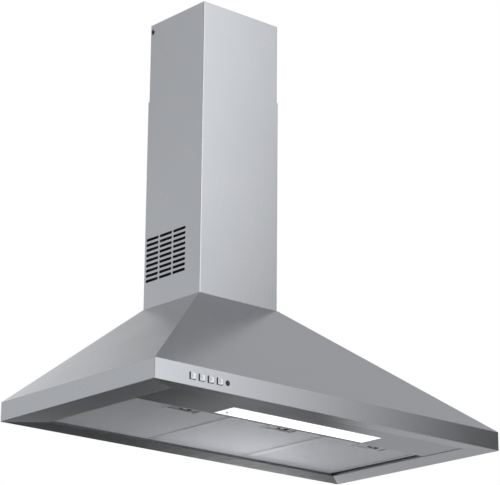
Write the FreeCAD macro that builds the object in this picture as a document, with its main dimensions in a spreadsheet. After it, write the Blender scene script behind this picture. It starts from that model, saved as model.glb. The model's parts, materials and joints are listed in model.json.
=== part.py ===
import FreeCAD, Part
import os
import re
import Sketcher
from FreeCAD import Vector

# A wall-mounted chimney range hood. X runs along the wall, +Y points into the wall, +Z is up.
# The origin is on the wall plane, in the middle of the width, at the lower edge of the rim.
# All lengths are in millimetres.

SIZES = {
    # The canopy
    "hood_width": 900,
    "hood_depth": 480,
    "rim_height": 39,
    "canopy_rise": 253,
    "steel": 1,
    "rim_bend": 1.4,
    "crown_edge": 1,
    "front_lip": 36,
    "side_lip": 70,
    "back_lip": 59,
    "mitre_slit": 0.4,
    "well_rise": 11,
    # Gaps between pieces, and the overrun of every cut
    "seam": 0.3,
    "slack": 0.04,
    "overrun": 5,
    # The chimney covers
    "chimney_width": 210,
    "chimney_depth": 183,
    "lower_cover_length": 464,
    "upper_cover_length": 450,
    "cover_overlap": 272,
    "cover_gap": 0.5,
    "cover_bend": 2,
    "cover_flange": 15,
    "cover_tab": 12,
    "cover_tab_length": 50,
    # The vents in the lower cover
    "vent_length": 40.8,
    "vent_space": 3.7,
    "vent_height": 6.5,
    "vent_pitch": 11.25,
    "vent_back": 4.8,
    "vent_first": 60.6,
    # The fixing slots in the upper cover and the wall bracket behind them
    "fixing_slot_width": 5,
    "fixing_slot_height": 14,
    "fixing_slot_back": 8,
    "fixing_slot_drop": 16.5,
    "bracket_steel": 1.5,
    "bracket_height": 31,
    "bracket_half_strip": 86,
    "bracket_jog": 5,
    "bracket_ear": 20,
    "bracket_hole_radius": 3,
    "bracket_hole_spacing": 120,
    # Wall fixing holes in the rear panel
    "wall_hole_radius": 4.25,
    "wall_hole_low": 70,
    "wall_hole_high": 150,
    # The light panel and the lamps
    "tray_depth": 111,
    "tray_lap": 6,
    "tray_rise": 25,
    "diffuser_width": 388,
    "diffuser_inset": 45,
    "diffuser_depth": 57,
    "diffuser_flange": 5,
    "diffuser_thickness": 1.6,
    "diffuser_gap": 0.4,
    "reflector_steel": 0.8,
    "reflector_left_end": 22,
    "reflector_right_end": 4,
    "reflector_inset": 3,
    "reflector_top": 46,
    "lamp_height": 25,
    "lampholder_radius": 14,
    "lampholder_length": 30,
    "lamp_cap_radius": 7,
    "lamp_cap_length": 22,
    "bulb_radius": 17,
    "bulb_length": 75,
    "diffuser_screw_end": 18,
    "diffuser_screw_inset": 41,
    # The filters
    "filter_side_gap": 8.35,
    "filter_gap": 0.7,
    "filter_seam": 0.6,
    "filter_back": 54,
    "filter_bottom": 5,
    "filter_thickness": 9,
    "filter_border": 9,
    "filter_skin": 1,
    "ledge_stop": 49.5,
    "ledge_stop_top": 14,
    "ledge_foot": 40,
    # The recessed handle and the latch of each filter
    "handle_offset": 6,
    "cup_width": 70,
    "cup_inset": 15,
    "cup_depth": 25,
    "cup_height": 4.2,
    "cup_wall": 0.8,
    "cup_land": 4,
    "latch_half_width": 12,
    "latch_thickness": 2,
    "latch_reach": 5,
    "latch_shoulder_inset": 13,
    "latch_grip_length": 20,
    "latch_grip_left": 6,
    "latch_grip_right": 5,
    "latch_tab_inset": 19.5,
    "latch_tab_thickness": 2,
    "latch_tab_drop": 8,
    "latch_window_left": 7.5,
    "latch_window_right": 16.5,
    "latch_window_inset": 17,
    "latch_window_depth": 12,
    "keeper_length": 7,
    "keeper_leg": 3,
    "keeper_bridge": 1.2,
    # The push buttons and the indicator lamp
    "button_inset": 88,
    "button_pitch": 21.5,
    "button_width": 12.5,
    "button_height": 13,
    "button_level": 19,
    "button_stand": 3,
    "button_cap_depth": 10,
    "button_stem": 8,
    "button_stem_length": 11,
    "button_round": 1.2,
    "button_travel": 3,
    "button_gap": 0.3,
    "switch_block_depth": 26,
    "switch_block_margin": 11,
    "lens_radius": 5,
    "lens_space": 19,
    "lens_stand": 1.2,
    "lens_length": 10,
    # The blower
    "fan_back": 121,
    "fan_level": 166,
    "scroll_start": 84,
    "scroll_step": 8,
    "scroll_top": 262,
    "blower_half_width": 65,
    "blower_wall": 1.2,
    "inlet_radius": 60,
    "inlet_lip": 4,
    "impeller_radius": 75,
    "impeller_half_width": 57,
    "blade_depth": 13,
    "blade_thickness": 1,
    "blade_sweep": 6,
    "impeller_ring": 2,
    "impeller_disc": 2,
    "impeller_hub_radius": 12,
    "impeller_hub_length": 20,
    "shaft_radius": 4,
    "shaft_end": 18,
    "nut_radius": 8,
    "nut_length": 6,
    "motor_radius": 44,
    "motor_wall": 2,
    "motor_inner_end": 13,
    "bearing_radius": 11,
    "bearing_width": 7,
    "bearing_seat": 3,
    "stator_inner_radius": 24,
    "stator_outer_gap": 0.3,
    "rotor_gap": 0.6,
    "stator_start": 50,
    "stator_end": 26,
    "spider_steel": 2,
    "spider_ring": 30,
    "spider_reach": 76,
    "spider_arm": 12,
    "grommet_place": 70,
    "grommet_radius": 6,
    "grommet_length": 3,
    # The hat bracket between the blower and the rear panel
    "hat_half_width": 55,
    "hat_flange": 30,
    "hat_low": 190,
    "hat_high": 240,
    # The duct collar and its non-return flaps
    "collar_radius": 74.5,
    "collar_wall": 1.2,
    "collar_step": 1,
    "collar_height": 46,
    "collar_flange_radius": 84,
    "collar_clearance": 2,
    "collar_screw_circle": 79.8,
    "flap_level": 8,
    "flap_thickness": 1.2,
    "flap_gap": 0.9,
    "flap_ledge": 3,
    "flap_pin_radius": 2,
    "flap_barrel_radius": 3.6,
    "flap_barrel_length": 20,
    "flap_barrel_inner": 5,
    "flap_barrel_outer": 30,
    # The terminal box, what it holds, and the gland for the mains lead
    "box_side": 120,
    "box_width": 100,
    "box_floor": 88,
    "box_height": 70,
    "box_depth": 46,
    "box_wall": 2,
    "capacitor_radius": 15,
    "capacitor_height": 52,
    "capacitor_right": 146,
    "terminal_left": 172,
    "terminal_width": 38,
    "terminal_height": 18,
    "terminal_depth": 16,
    "terminal_level": 102,
    "gland_offset": 88,
    "gland_back": 20,
    "gland_radius": 8,
    "gland_flange_radius": 11,
    "gland_bore_radius": 4.5,
    "gland_flange": 2.5,
    "gland_length": 20,
    # Fasteners
    "screw_radius": 2,
    "screw_head_radius": 3.5,
    "screw_head": 1.8,
    "screw_length": 8,
    "screw_clearance": 0.2,
    "small_screw_radius": 1.5,
    "small_head_radius": 3,
    "small_head": 1,
}

VENT_ROWS = 9
VENT_COLUMNS = 3
FILTERS = 3
BUTTONS = 4
BLADES = 36
SPIDER_ARMS = 3
TERMINALS = 4
HAT_SCREW_SHARES = (0.25, 0.75)
MITRE_LENGTH_SHARE = 0.96
NECK_SHARE = 0.55
SHOULDER_SHARE = 0.3
TIP_SHARE = 0.85
WALL_HOLE_SHARE = 26 / 45

# Places that several pieces share, each worked out from the sizes above
PLACES = {
    "half_hood": "hood_width / 2",
    "canopy_top": "rim_height + canopy_rise",
    "half_chimney": "chimney_width / 2",
    "half_crown": "half_chimney + crown_edge",
    "crown_depth": "chimney_depth + crown_edge",
    "side_run": "half_hood - half_crown",
    "front_run": "hood_depth - crown_depth",
    "side_wall": "steel * sqrt(1 + (side_run / canopy_rise) ^ 2)",
    "front_wall": "steel * sqrt(1 + (front_run / canopy_rise) ^ 2)",
    "half_well": "half_hood - side_lip",
    "lip_front": "hood_depth - front_lip",
    "well_front": "lip_front - tray_depth",
    "mitre_corner": "half_hood - steel",
    "crown_side": "half_crown + side_run * steel / canopy_rise - side_wall",
    "crown_front": "crown_depth + front_run * steel / canopy_rise - front_wall",
    "duct_back": "chimney_depth / 2",
    "lower_cover_top": "canopy_top + lower_cover_length",
    "upper_cover_low": "lower_cover_top - cover_overlap",
    "upper_cover_top": "upper_cover_low + upper_cover_length",
    "upper_half": "half_chimney - steel - cover_gap",
    "upper_front": "chimney_depth - steel - cover_gap",
    "upper_back": "steel + cover_gap",
    "cover_tab_side": "half_chimney - steel - cover_tab / 2",
    "fixing_level": "upper_cover_top - fixing_slot_drop",
    "half_ear": "upper_half - steel - seam",
    "tray_front": "lip_front + tray_lap",
    "half_tray": "half_well + tray_lap",
    "tray_top": "steel + tray_rise",
    "half_diffuser": "diffuser_width / 2",
    "diffuser_front": "lip_front - diffuser_inset",
    "diffuser_back": "diffuser_front - diffuser_depth",
    "diffuser_top": "2 * steel + diffuser_thickness",
    "lamp_back": "(diffuser_front + diffuser_back) / 2",
    "reflector_foot": "diffuser_top + reflector_steel",
    "reflector_left": "half_diffuser - reflector_left_end",
    "reflector_right": "half_diffuser - reflector_right_end",
    "trough_front": "diffuser_front - reflector_inset",
    "trough_back": "diffuser_back + reflector_inset",
    "filter_room": "2 * (half_well - filter_side_gap)",
    "filter_width": f"(filter_room - {FILTERS - 1} * filter_gap) / {FILTERS}",
    "filter_pitch": "filter_width + filter_gap",
    "filter_front": "well_front - filter_seam",
    "filter_top": "filter_bottom + filter_thickness",
    "cup_front": "well_front - cup_inset",
    "cup_back": "cup_front - cup_depth",
    "land_half": "cup_width / 2 + cup_land",
    "land_back": "cup_back - cup_land",
    "cup_top": "filter_bottom + seam + cup_height",
    "latch_low": "filter_top + seam",
    "latch_high": "latch_low + latch_thickness",
    "latch_tip": "well_front + latch_reach",
    "latch_shoulder": "well_front - latch_shoulder_inset",
    "latch_tab_front": "well_front - latch_tab_inset",
    "latch_window_front": "well_front - latch_window_inset",
    "keeper_front": "filter_front - 2 * filter_seam",
    "keeper_back": "keeper_front - keeper_length",
    "rim_inside": "hood_depth - steel",
    "button_first": "half_hood - button_inset",
    "lens_side": f"button_first - {BUTTONS - 1} * button_pitch - lens_space",
    "block_low": "button_level - button_height / 2 - seam - steel",
    "block_high": "button_level + button_height / 2 + seam + steel",
    "cap_room": "button_cap_depth - button_stand + button_travel - steel + seam",
    "stem_end": "rim_inside - cap_room - button_stem_length",
    "spiral_back": "fan_back + scroll_step / 2",
    "spiral_level": "fan_level - scroll_step / 2",
    "outlet_back": "spiral_back - 2 * scroll_step - scroll_start - scroll_step",
    "plate_side": "blower_half_width + blower_wall",
    "motor_outer_end": "plate_side - motor_wall",
    "ear_of_spider": "plate_side + spider_steel",
    "shaft_bore": "shaft_radius + slack",
    "collar_top": "canopy_top + collar_height",
    "collar_root": "collar_radius + collar_step",
    "collar_inner": "collar_radius - collar_wall",
    "flap_axis": "canopy_top + flap_level",
    "flap_radius": "collar_inner - flap_gap",
    "flap_ledge_top": "flap_axis - flap_thickness / 2 - seam",
    "box_far_side": "box_side + box_width",
    "box_ceiling": "box_floor + box_height",
    "screw_hole": "screw_radius + screw_clearance",
    "small_screw_hole": "small_screw_radius + screw_clearance",
}


doc = FreeCAD.newDocument("RangeHood")
sheet = doc.addObject("Spreadsheet::Sheet", "Sizes")
for row, (alias, size) in enumerate(SIZES.items(), 1):
    sheet.set(f"A{row}", alias.replace("_", " "))
    sheet.set(f"B{row}", str(size))
    sheet.setAlias(f"B{row}", alias)
doc.recompute()

gauge = doc.addObject("App::FeaturePython", "Gauge")
gauge.addProperty("App::PropertyFloat", "Reading")
pieces = []


def formula(text):
    """A sum of plain size names, written the way the sheet's cells are named."""

    def swap(match):
        word = match.group(0)
        if word in PLACES:
            return "(" + formula(PLACES[word]) + ")"
        return "Sizes." + word if word in SIZES else word

    return re.sub(r"[a-z][a-z_]+", swap, text)


def bind(thing, size, text):
    thing.setExpression(size, formula(text))


def reading(text):
    """The present value of a sum of sizes."""
    bind(gauge, "Reading", text)
    gauge.recompute()
    return gauge.Reading


def minus(text):
    return f"0 - ({text})"


def new_piece(name):
    body = doc.addObject("PartDesign::Body", name)
    body.Label = name
    pieces.append(body)
    return body


def sketch_on(body, plane, right="0", up="0", out="0"):
    """A sketch on one of the body's own planes, moved right, up and out along its axes."""
    sketch = body.newObject("Sketcher::SketchObject", body.Label + "_outline")
    support = next(item for item in body.Origin.OriginFeatures if item.Role == plane + "_Plane")
    sketch.AttachmentSupport = [(support, "")]
    sketch.MapMode = "FlatFace"
    for axis, text in zip("xyz", (right, up, out)):
        bind(sketch, "AttachmentOffset.Base." + axis, text)
    return sketch


def tie(sketch, kind, side, end, text):
    """Holds one coordinate of a corner or a centre to a sum of sizes."""
    rule = sketch.addConstraint(Sketcher.Constraint(kind, -1, 1, side, end, reading(text)))
    bind(sketch, f"Constraints[{rule}]", text)


def add_outline(sketch, corners, arcs=None):
    """A closed outline through the corners. A side named in arcs is an arc about that centre."""
    arcs = arcs or {}
    first = sketch.GeometryCount
    count = len(corners)
    spots = [Vector(reading(a), reading(b), 0) for a, b in corners]
    begins, ends = [], []
    for i, start in enumerate(spots):
        stop = spots[(i + 1) % count]
        forward = True
        if i in arcs:
            centre = Vector(reading(arcs[i][0]), reading(arcs[i][1]), 0)
            forward = arcs[i][2]
            a, b = (start - centre, stop - centre) if forward else (stop - centre, start - centre)
            turn = Part.Circle(centre, Vector(0, 0, 1), a.Length)
            sketch.addGeometry(Part.ArcOfCircle(turn, turn.parameter(centre + a), turn.parameter(centre + b)))
        else:
            sketch.addGeometry(Part.LineSegment(start, stop))
        begins.append(1 if forward else 2)
        ends.append(2 if forward else 1)
    for i, (a, b) in enumerate(corners):
        following = (i + 1) % count
        link = (first + i, ends[i], first + following, begins[following])
        sketch.addConstraint(Sketcher.Constraint("Coincident", *link))
        tie(sketch, "DistanceX", first + i, begins[i], a)
        tie(sketch, "DistanceY", first + i, begins[i], b)
    for i, centre in arcs.items():
        chord = spots[(i + 1) % count] - spots[i]
        across = abs(chord.y) > abs(chord.x)
        tie(sketch, "DistanceX" if across else "DistanceY", first + i, 3, centre[0 if across else 1])


def add_rectangle(sketch, a, b):
    add_outline(sketch, [(a[0], b[0]), (a[1], b[0]), (a[1], b[1]), (a[0], b[1])])


def add_circle(sketch, a, b, radius):
    centre = Vector(reading(a), reading(b), 0)
    side = sketch.addGeometry(Part.Circle(centre, Vector(0, 0, 1), reading(radius)))
    tie(sketch, "DistanceX", side, 3, a)
    tie(sketch, "DistanceY", side, 3, b)
    rule = sketch.addConstraint(Sketcher.Constraint("Radius", side, reading(radius)))
    bind(sketch, f"Constraints[{rule}]", radius)


def volume(body):
    return 0 if body.Shape.isNull() else body.Shape.Volume


def extrude(body, sketch, length, cut=False):
    """Pads a sketch along its normal, or cuts the body away there."""
    doc.recompute()
    before = volume(body)
    feature = body.newObject("PartDesign::Pocket" if cut else "PartDesign::Pad", body.Label + "_step")
    feature.Profile = sketch
    feature.Reversed = cut
    bind(feature, "Length", length)
    doc.recompute()
    if cut and not volume(body) < before:
        raise ValueError(f"a cut in {body.Label} removes nothing")
    return feature


def block(body, x, y, z, cut=False):
    """A rectangular pad or room between two places on each axis."""
    sketch = sketch_on(body, "XY", out=z[0])
    add_rectangle(sketch, x, y)
    return extrude(body, sketch, f"{z[1]} - ({z[0]})", cut)


def room(body, x, y, z):
    return block(body, x, y, z, cut=True)


def sheet_outline(body, plane, corners, start, length, cut=False, arcs=None):
    """An outline padded or cut along the normal of its plane, from start."""
    sketch = sketch_on(body, plane, out=start)
    add_outline(sketch, corners, arcs)
    return extrude(body, sketch, length, cut)


def rounds(body, axis, centres, radius, span, cut=False):
    """Round pads or bores along an axis, one at each centre, between the two places of span."""
    plane = {"X": "YZ", "Y": "XZ", "Z": "XY"}[axis]
    start = minus(span[1]) if axis == "Y" else span[0]
    sketch = sketch_on(body, plane, out=start)
    for a, b in centres:
        add_circle(sketch, a, b, radius)
    return extrude(body, sketch, f"{span[1]} - ({span[0]})", cut)


def bores(body, axis, centres, radius, span):
    return rounds(body, axis, centres, radius, span, cut=True)


def turned(body, axis, place, profile):
    """A solid of revolution: profile gives (along the axis, radius) about the place given."""
    x, y, z = place
    if axis == "Y":
        sketch = sketch_on(body, "YZ", y, z, x)
    else:
        sketch = sketch_on(body, "XZ", x, z, minus(y))
    add_outline(sketch, [(r, a) for a, r in profile] if axis == "Z" else profile)
    doc.recompute()
    feature = body.newObject("PartDesign::Revolution", body.Label + "_turning")
    feature.Profile = sketch
    feature.ReferenceAxis = (sketch, ["V_Axis" if axis == "Z" else "H_Axis"])
    feature.Angle = 360
    doc.recompute()
    return feature


def loft(body, sections, cut=False):
    """A straight loft through rectangles or circles, each given with its level."""
    sketches = []
    for level, kind, values in sections:
        sketch = sketch_on(body, "XY", out=level)
        if kind == "rectangle":
            add_rectangle(sketch, *values)
        else:
            add_circle(sketch, *values)
        sketches.append(sketch)
    doc.recompute()
    before = volume(body)
    kind = "PartDesign::SubtractiveLoft" if cut else "PartDesign::AdditiveLoft"
    feature = body.newObject(kind, body.Label + "_loft")
    feature.Profile = sketches[0]
    feature.Sections = sketches[1:]
    feature.Ruled = True
    doc.recompute()
    if cut and not volume(body) < before:
        raise ValueError(f"a loft in {body.Label} removes nothing")
    return feature


def pattern(body, feature, kind, reference, count, **sizes):
    """Repeats a feature along a line or about an axis, and makes the pattern the body's last step."""
    copies = body.newObject("PartDesign::" + kind, body.Label + "_copies")
    copies.Originals = [feature]
    if kind == "LinearPattern":
        copies.Direction = reference
        copies.Mode = "Spacing"
        bind(copies, "Offset", sizes["spacing"])
    else:
        copies.Axis = reference
        copies.Angle = 360
    copies.Occurrences = count
    body.Tip = copies
    doc.recompute()
    return copies


def round_edges(body, radius, wanted):
    """Rounds the edges of the body's last step for which wanted, given the edge, is true."""
    base = body.Tip
    names = [f"Edge{i}" for i, edge in enumerate(base.Shape.Edges, 1) if wanted(edge)]
    if not names:
        raise ValueError(f"no edge to round in {body.Label}")
    feature = body.newObject("PartDesign::Fillet", body.Label + "_bends")
    feature.Base = (base, names)
    bind(feature, "Radius", radius)
    doc.recompute()
    return feature


def near(value, text):
    return abs(value - reading(text)) < reading("seam") / 10


def upright_at(edge, x, y):
    """Whether an edge is a vertical line at plus or minus x, at this y."""
    box = edge.BoundBox
    flat = box.XLength + box.YLength < reading("seam") / 10
    return flat and box.ZLength > reading("steel") * 2 and near(abs(box.XMin), x) and near(box.YMin, y)


def in_order(*places):
    return sorted(places, key=reading)


def add_screws(body, axis, centres, under_head, tip, small=False):
    """Pan-head screws along one axis, from the tip to the head, which stands beyond under_head."""
    head, shank, tall = (
        ("small_head_radius", "small_screw_radius", "small_head")
        if small
        else ("screw_head_radius", "screw_radius", "screw_head")
    )
    outward = "+" if reading(under_head) > reading(tip) else "-"
    middle = f"{under_head} {outward} {tall} / 2"
    rounds(body, axis, centres, head, in_order(under_head, f"{under_head} {outward} {tall}"))
    rounds(body, axis, centres, shank, in_order(tip, middle))


# The canopy


def slope_profile(lip, rim, crown, inner_crown, wall, run):
    """A canopy sheet seen from its end: its bottom lip, its rim and its slope, as (reach, level)."""
    return [
        (lip, "0"),
        (rim, "0"),
        (rim, "rim_height"),
        (crown, "canopy_top"),
        (inner_crown, "canopy_top"),
        (inner_crown, "canopy_top - steel"),
        (f"{rim} - {wall}", "rim_height"),
        (f"{rim} - steel", f"rim_height - ({wall} - steel) * canopy_rise / {run}"),
        (f"{rim} - steel", "steel"),
        (lip, "steel"),
    ]


def canopy_front():
    """The front sheet, welded to the side sheets at both ends, with holes for the buttons and the lamp."""
    body = new_piece("canopy_front")
    steps = slope_profile("lip_front", "hood_depth", "crown_depth", "crown_front", "front_wall", "front_run")
    outline = [(minus(reach), level) for reach, level in steps]
    sheet_outline(body, "YZ", outline, minus("half_hood"), "hood_width")
    rim_bends(body, lambda box: near(box.YMin, minus("hood_depth")) and near(box.YMax, minus("hood_depth")))
    for side in (-1, 1):
        beyond = f"{side} * (half_hood + overrun)"
        for weld, levels in front_welds(side):
            rest = [(weld[-1][0], "0"), (beyond, "0"), (beyond, minus("hood_depth"))]
            sheet_outline(body, "XY", weld + rest, *levels, cut=True)
        rim_corner(body, side)
    sketch = sketch_on(body, "XZ", out="rim_inside - steel")
    for i in range(BUTTONS):
        x, z = button_window(i)
        add_rectangle(sketch, x, z)
    add_circle(sketch, minus("lens_side"), "button_level", "lens_radius + button_gap")
    extrude(body, sketch, "steel * 2 + overrun", cut=True)


def canopy_sides():
    """The left and right sheets, each with a hem beside the filters and a mitre at the back lip."""
    for name, side in (("left", -1), ("right", 1)):
        body = new_piece(f"canopy_{name}")
        steps = slope_profile("half_well", "half_hood", "half_crown", "crown_side", "side_wall", "side_run")
        outline = [(f"{side} * ({reach})", level) for reach, level in steps]
        sheet_outline(body, "XZ", outline, "0", "hood_depth")
        rim_bends(body, lambda box: near(abs(box.XMin), "half_hood") and near(abs(box.XMax), "half_hood"))
        beyond = minus("hood_depth + overrun")
        for weld, levels in front_welds(side):
            rest = [("0", weld[-1][1]), ("0", beyond), (weld[0][0], beyond)]
            sheet_outline(body, "XY", weld + rest, *levels, cut=True)
        rim_corner(body, side)
        inner = f"{side} * (half_well - overrun)"
        back = [
            (f"{side} * half_well", minus("back_lip")),
            (f"{side} * mitre_corner", "0"),
            (f"{side} * mitre_corner", "overrun"),
            (inner, "overrun"),
            (inner, minus("back_lip")),
        ]
        sheet_outline(body, "XY", back, minus("overrun"), "overrun + steel", cut=True)
        hem = in_order(f"{side} * half_well", f"{side} * (half_well + steel)")
        block(body, hem, (minus("well_front - seam"), minus("back_lip + steel")), ("steel / 2", "well_rise"))


def rim_bends(body, at_rim):
    """Rounds a sheet's outer bends, along the rim's lower edge and along the crease below the slope."""

    def on_bend(edge):
        box = edge.BoundBox
        level = near(box.ZMin, "0") or near(box.ZMin, "rim_height")
        return box.ZLength < reading("seam") and level and at_rim(box)

    round_edges(body, "rim_bend", on_bend)


def front_welds(side):
    """The welds from one front corner, along the lip and up the slope, each with its levels."""
    corner = (f"{side} * half_hood", minus("hood_depth"))
    lip = [corner, (f"{side} * half_well", minus("lip_front"))]
    crown = (f"{side} * half_crown", minus("crown_depth"))
    slope = [corner, crown, (f"{side} * crown_side", minus("crown_front"))]
    return (
        (lip, (minus("overrun"), "overrun + steel")),
        (slope, ("steel", "canopy_top - steel + overrun")),
    )


def rim_corner(body, side):
    """Rounds the upright corner of the rim, and opens the weld of the lips to a thin slit."""
    x, y = f"{side} * (half_hood - rim_bend)", minus("hood_depth - rim_bend")
    outside, below = f"{side} * (half_hood + overrun)", minus("hood_depth + overrun")
    corner = [(x, minus("hood_depth")), (f"{side} * half_hood", y), (outside, y), (outside, below), (x, below)]
    sheet_outline(body, "XY", corner, minus("overrun"), "canopy_top", cut=True, arcs={0: (x, y, side > 0)})
    far_side = f"half_well + side_lip * {MITRE_LENGTH_SHARE}"
    far_front = f"lip_front + front_lip * {MITRE_LENGTH_SHARE}"
    slit = [
        (f"{side} * (half_well - mitre_slit)", minus("lip_front")),
        (f"{side} * ({far_side} - mitre_slit)", minus(far_front)),
        (f"{side} * ({far_side})", f"mitre_slit - ({far_front})"),
        (f"{side} * half_well", "mitre_slit - lip_front"),
    ]
    sheet_outline(body, "XY", slit, minus("overrun"), "overrun + steel", cut=True)


def top_plate():
    """The plate welded in at the top, with the holes for the duct, the gland and the screws."""
    body = new_piece("top_plate")
    levels = ("canopy_top - steel", "canopy_top")
    block(body, (minus("crown_side"), "crown_side"), (minus("crown_front"), "0"), levels)
    through = ("canopy_top - 2 * steel", "canopy_top + overrun")
    bores(body, "Z", [("0", minus("duct_back"))], "collar_radius + collar_clearance", through)
    bores(body, "Z", [(minus("gland_offset"), minus("gland_back"))], "gland_radius + seam", through)
    bores(body, "Z", collar_screw_places(), "small_screw_hole", through)
    bores(body, "Z", cover_screw_places(), "screw_hole", through)


def button_middle(i):
    return f"{i} * button_pitch - button_first"


def button_window(i, gap="button_gap"):
    x = tuple(f"{button_middle(i)} {sign} (button_width / 2 + {gap})" for sign in "-+")
    z = tuple(f"button_level {sign} (button_height / 2 + {gap})" for sign in "-+")
    return x, z


def collar_screw_places():
    reach = "collar_screw_circle / sqrt(2)"
    return [(f"{a} * {reach}", f"{b} * {reach} - duct_back") for a in (-1, 1) for b in (-1, 1)]


def cover_screw_places():
    return [(f"{side} * cover_tab_side", minus("duct_back")) for side in (-1, 1)]


def rear_panel():
    """The flat back of the canopy with its bottom lip. Its rear face lies on the wall."""
    body = new_piece("rear_panel")
    top = "canopy_top - steel - seam"
    half = [
        ("mitre_corner - 6 * seam", "0"),
        ("mitre_corner - 6 * seam", "steel + seam"),
        ("mitre_corner - seam", "steel + seam"),
        ("mitre_corner - seam", "rim_height - side_wall"),
        ("half_hood - side_wall - 2 * seam", "rim_height"),
        ("half_crown + side_run * (steel + seam) / canopy_rise - side_wall - 2 * seam", top),
    ]
    outline = half + [(minus(a), b) for a, b in reversed(half)]
    sheet_outline(body, "XZ", outline, "0", "steel")
    corner, edge = "mitre_corner - 2 * seam", "half_well - 2 * seam"
    lip = [(minus(corner), "0"), (minus(edge), minus("back_lip")), (edge, minus("back_lip")), (corner, "0")]
    sheet_outline(body, "XY", lip, "0", "steel")
    through = (minus("steel + overrun"), "overrun")
    bores(body, "Y", wall_hole_places(), "wall_hole_radius", through)
    bores(body, "Y", panel_screw_places(), "screw_hole", through)


def wall_hole_places():
    levels = ("wall_hole_low", "wall_hole_high")
    return [(f"{side} * half_hood * {WALL_HOLE_SHARE}", level) for side in (-1, 1) for level in levels]


def panel_screw_places():
    """The screws that hold the hat bracket and the terminal box."""
    hat = [
        (f"{side} * (hat_half_width + hat_flange / 2)", f"hat_low + (hat_high - hat_low) * {share}")
        for side in (-1, 1)
        for share in HAT_SCREW_SHARES
    ]
    level = "box_ceiling - box_wall - 2 * screw_head_radius"
    box = [(f"{edge} * (screw_head_radius + 2 * box_wall) + {place}", level)
           for edge, place in ((1, "box_side"), (-1, "box_far_side"))]
    return hat + box


def rear_ledge():
    """The strip along the back lip that carries the rear edges of the filters."""
    body = new_piece("rear_ledge")
    face, top = "back_lip - seam", "filter_bottom - seam"
    profile = [
        (minus(face), "steel"),
        (minus("ledge_foot"), "steel"),
        (minus("ledge_foot"), "2 * steel"),
        (minus(f"{face} - steel"), "2 * steel"),
        (minus(f"{face} - steel"), f"{top} - steel"),
        (minus("ledge_stop - steel"), f"{top} - steel"),
        (minus("ledge_stop - steel"), "ledge_stop_top"),
        (minus("ledge_stop"), "ledge_stop_top"),
        (minus("ledge_stop"), top),
        (minus(face), top),
    ]
    sheet_outline(body, "YZ", profile, minus("half_well - seam"), "2 * (half_well - seam)")


# The light


def light_panel():
    """The tray at the front of the underside, with the lamp opening and the latch slots."""
    body = new_piece("light_panel")
    front, back = minus("tray_front"), minus("well_front")
    block(body, (minus("half_tray"), "half_tray"), (front, back), ("steel", "tray_top"))
    inner = (minus("half_tray - steel"), "half_tray - steel")
    room(body, inner, (f"{front} + steel", f"{back} - steel"), ("2 * steel", "tray_top + overrun"))
    opening = (minus("half_diffuser + diffuser_gap"), "half_diffuser + diffuser_gap")
    depth = (minus("diffuser_front + diffuser_gap"), minus("diffuser_back - diffuser_gap"))
    room(body, opening, depth, ("0", "2 * steel"))
    sketch = sketch_on(body, "XZ", out="well_front - overrun")
    for i in range(FILTERS):
        width = at_handle(i, "latch_half_width + 2 * seam")
        add_rectangle(sketch, width, ("latch_low - seam", "latch_high + seam"))
    extrude(body, sketch, "overrun + steel", cut=True)


def filter_middle(i):
    return f"{2 * i + 1 - FILTERS} * filter_pitch / 2"


def light_diffuser():
    """The white cover of the lamps, dropped into its opening from above."""
    body = new_piece("light_diffuser")
    face = (minus("half_diffuser"), "half_diffuser")
    block(body, face, (minus("diffuser_front"), minus("diffuser_back")), ("steel", "diffuser_top"))
    flange = (minus("half_diffuser + diffuser_flange"), "half_diffuser + diffuser_flange")
    depth = (minus("diffuser_front + diffuser_flange"), minus("diffuser_back - diffuser_flange"))
    block(body, flange, depth, ("2 * steel", "diffuser_top"))
    bores(body, "Z", diffuser_screw_place(), "small_screw_hole", ("0", "diffuser_top + overrun"))


def diffuser_screw_place():
    return [(minus("half_diffuser - diffuser_screw_end"), minus("diffuser_front - diffuser_screw_inset"))]


def lamp_reflector():
    """The folded trough above the diffuser that holds the two lampholders."""
    body = new_piece("lamp_reflector")
    flange = (minus("half_diffuser + diffuser_flange"), "half_diffuser + diffuser_flange")
    depth = (minus("diffuser_front + diffuser_flange"), minus("diffuser_back - diffuser_flange"))
    block(body, flange, depth, ("diffuser_top", "reflector_foot"))
    block(
        body,
        (minus("reflector_left"), "reflector_right"),
        (minus("trough_front"), minus("trough_back")),
        ("diffuser_top", "reflector_top"),
    )
    room(
        body,
        (minus("reflector_left - reflector_steel"), "reflector_right - reflector_steel"),
        (minus("trough_front - reflector_steel"), minus("trough_back + reflector_steel")),
        ("diffuser_top - overrun", "reflector_top - reflector_steel"),
    )
    bores(body, "Z", diffuser_screw_place(), "small_screw_hole", ("diffuser_top - overrun", "reflector_top"))


def lamps():
    """A ceramic holder at each end of the trough, and a candle bulb in each."""
    holders = new_piece("lampholders")
    bulbs = new_piece("lamp_bulbs")
    for side, wall in ((1, "reflector_left"), (-1, "reflector_right")):
        end = f"{-side} * ({wall} - reflector_steel)"
        place = (end, minus("lamp_back"), "lamp_height")
        long, cap = f"{side} * lampholder_length", "lamp_cap_radius + seam"
        floor = f"{side} * (lampholder_length - lamp_cap_length - seam)"
        outside = [("0", "0"), ("0", "lampholder_radius"), (long, "lampholder_radius")]
        turned(holders, "X", place, outside + [(long, cap), (floor, cap), (floor, "0")])
        start = f"{end} + {side} * (lampholder_length - lamp_cap_length)"
        turned(bulbs, "X", (start, minus("lamp_back"), "lamp_height"), bulb_profile(side))


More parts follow.
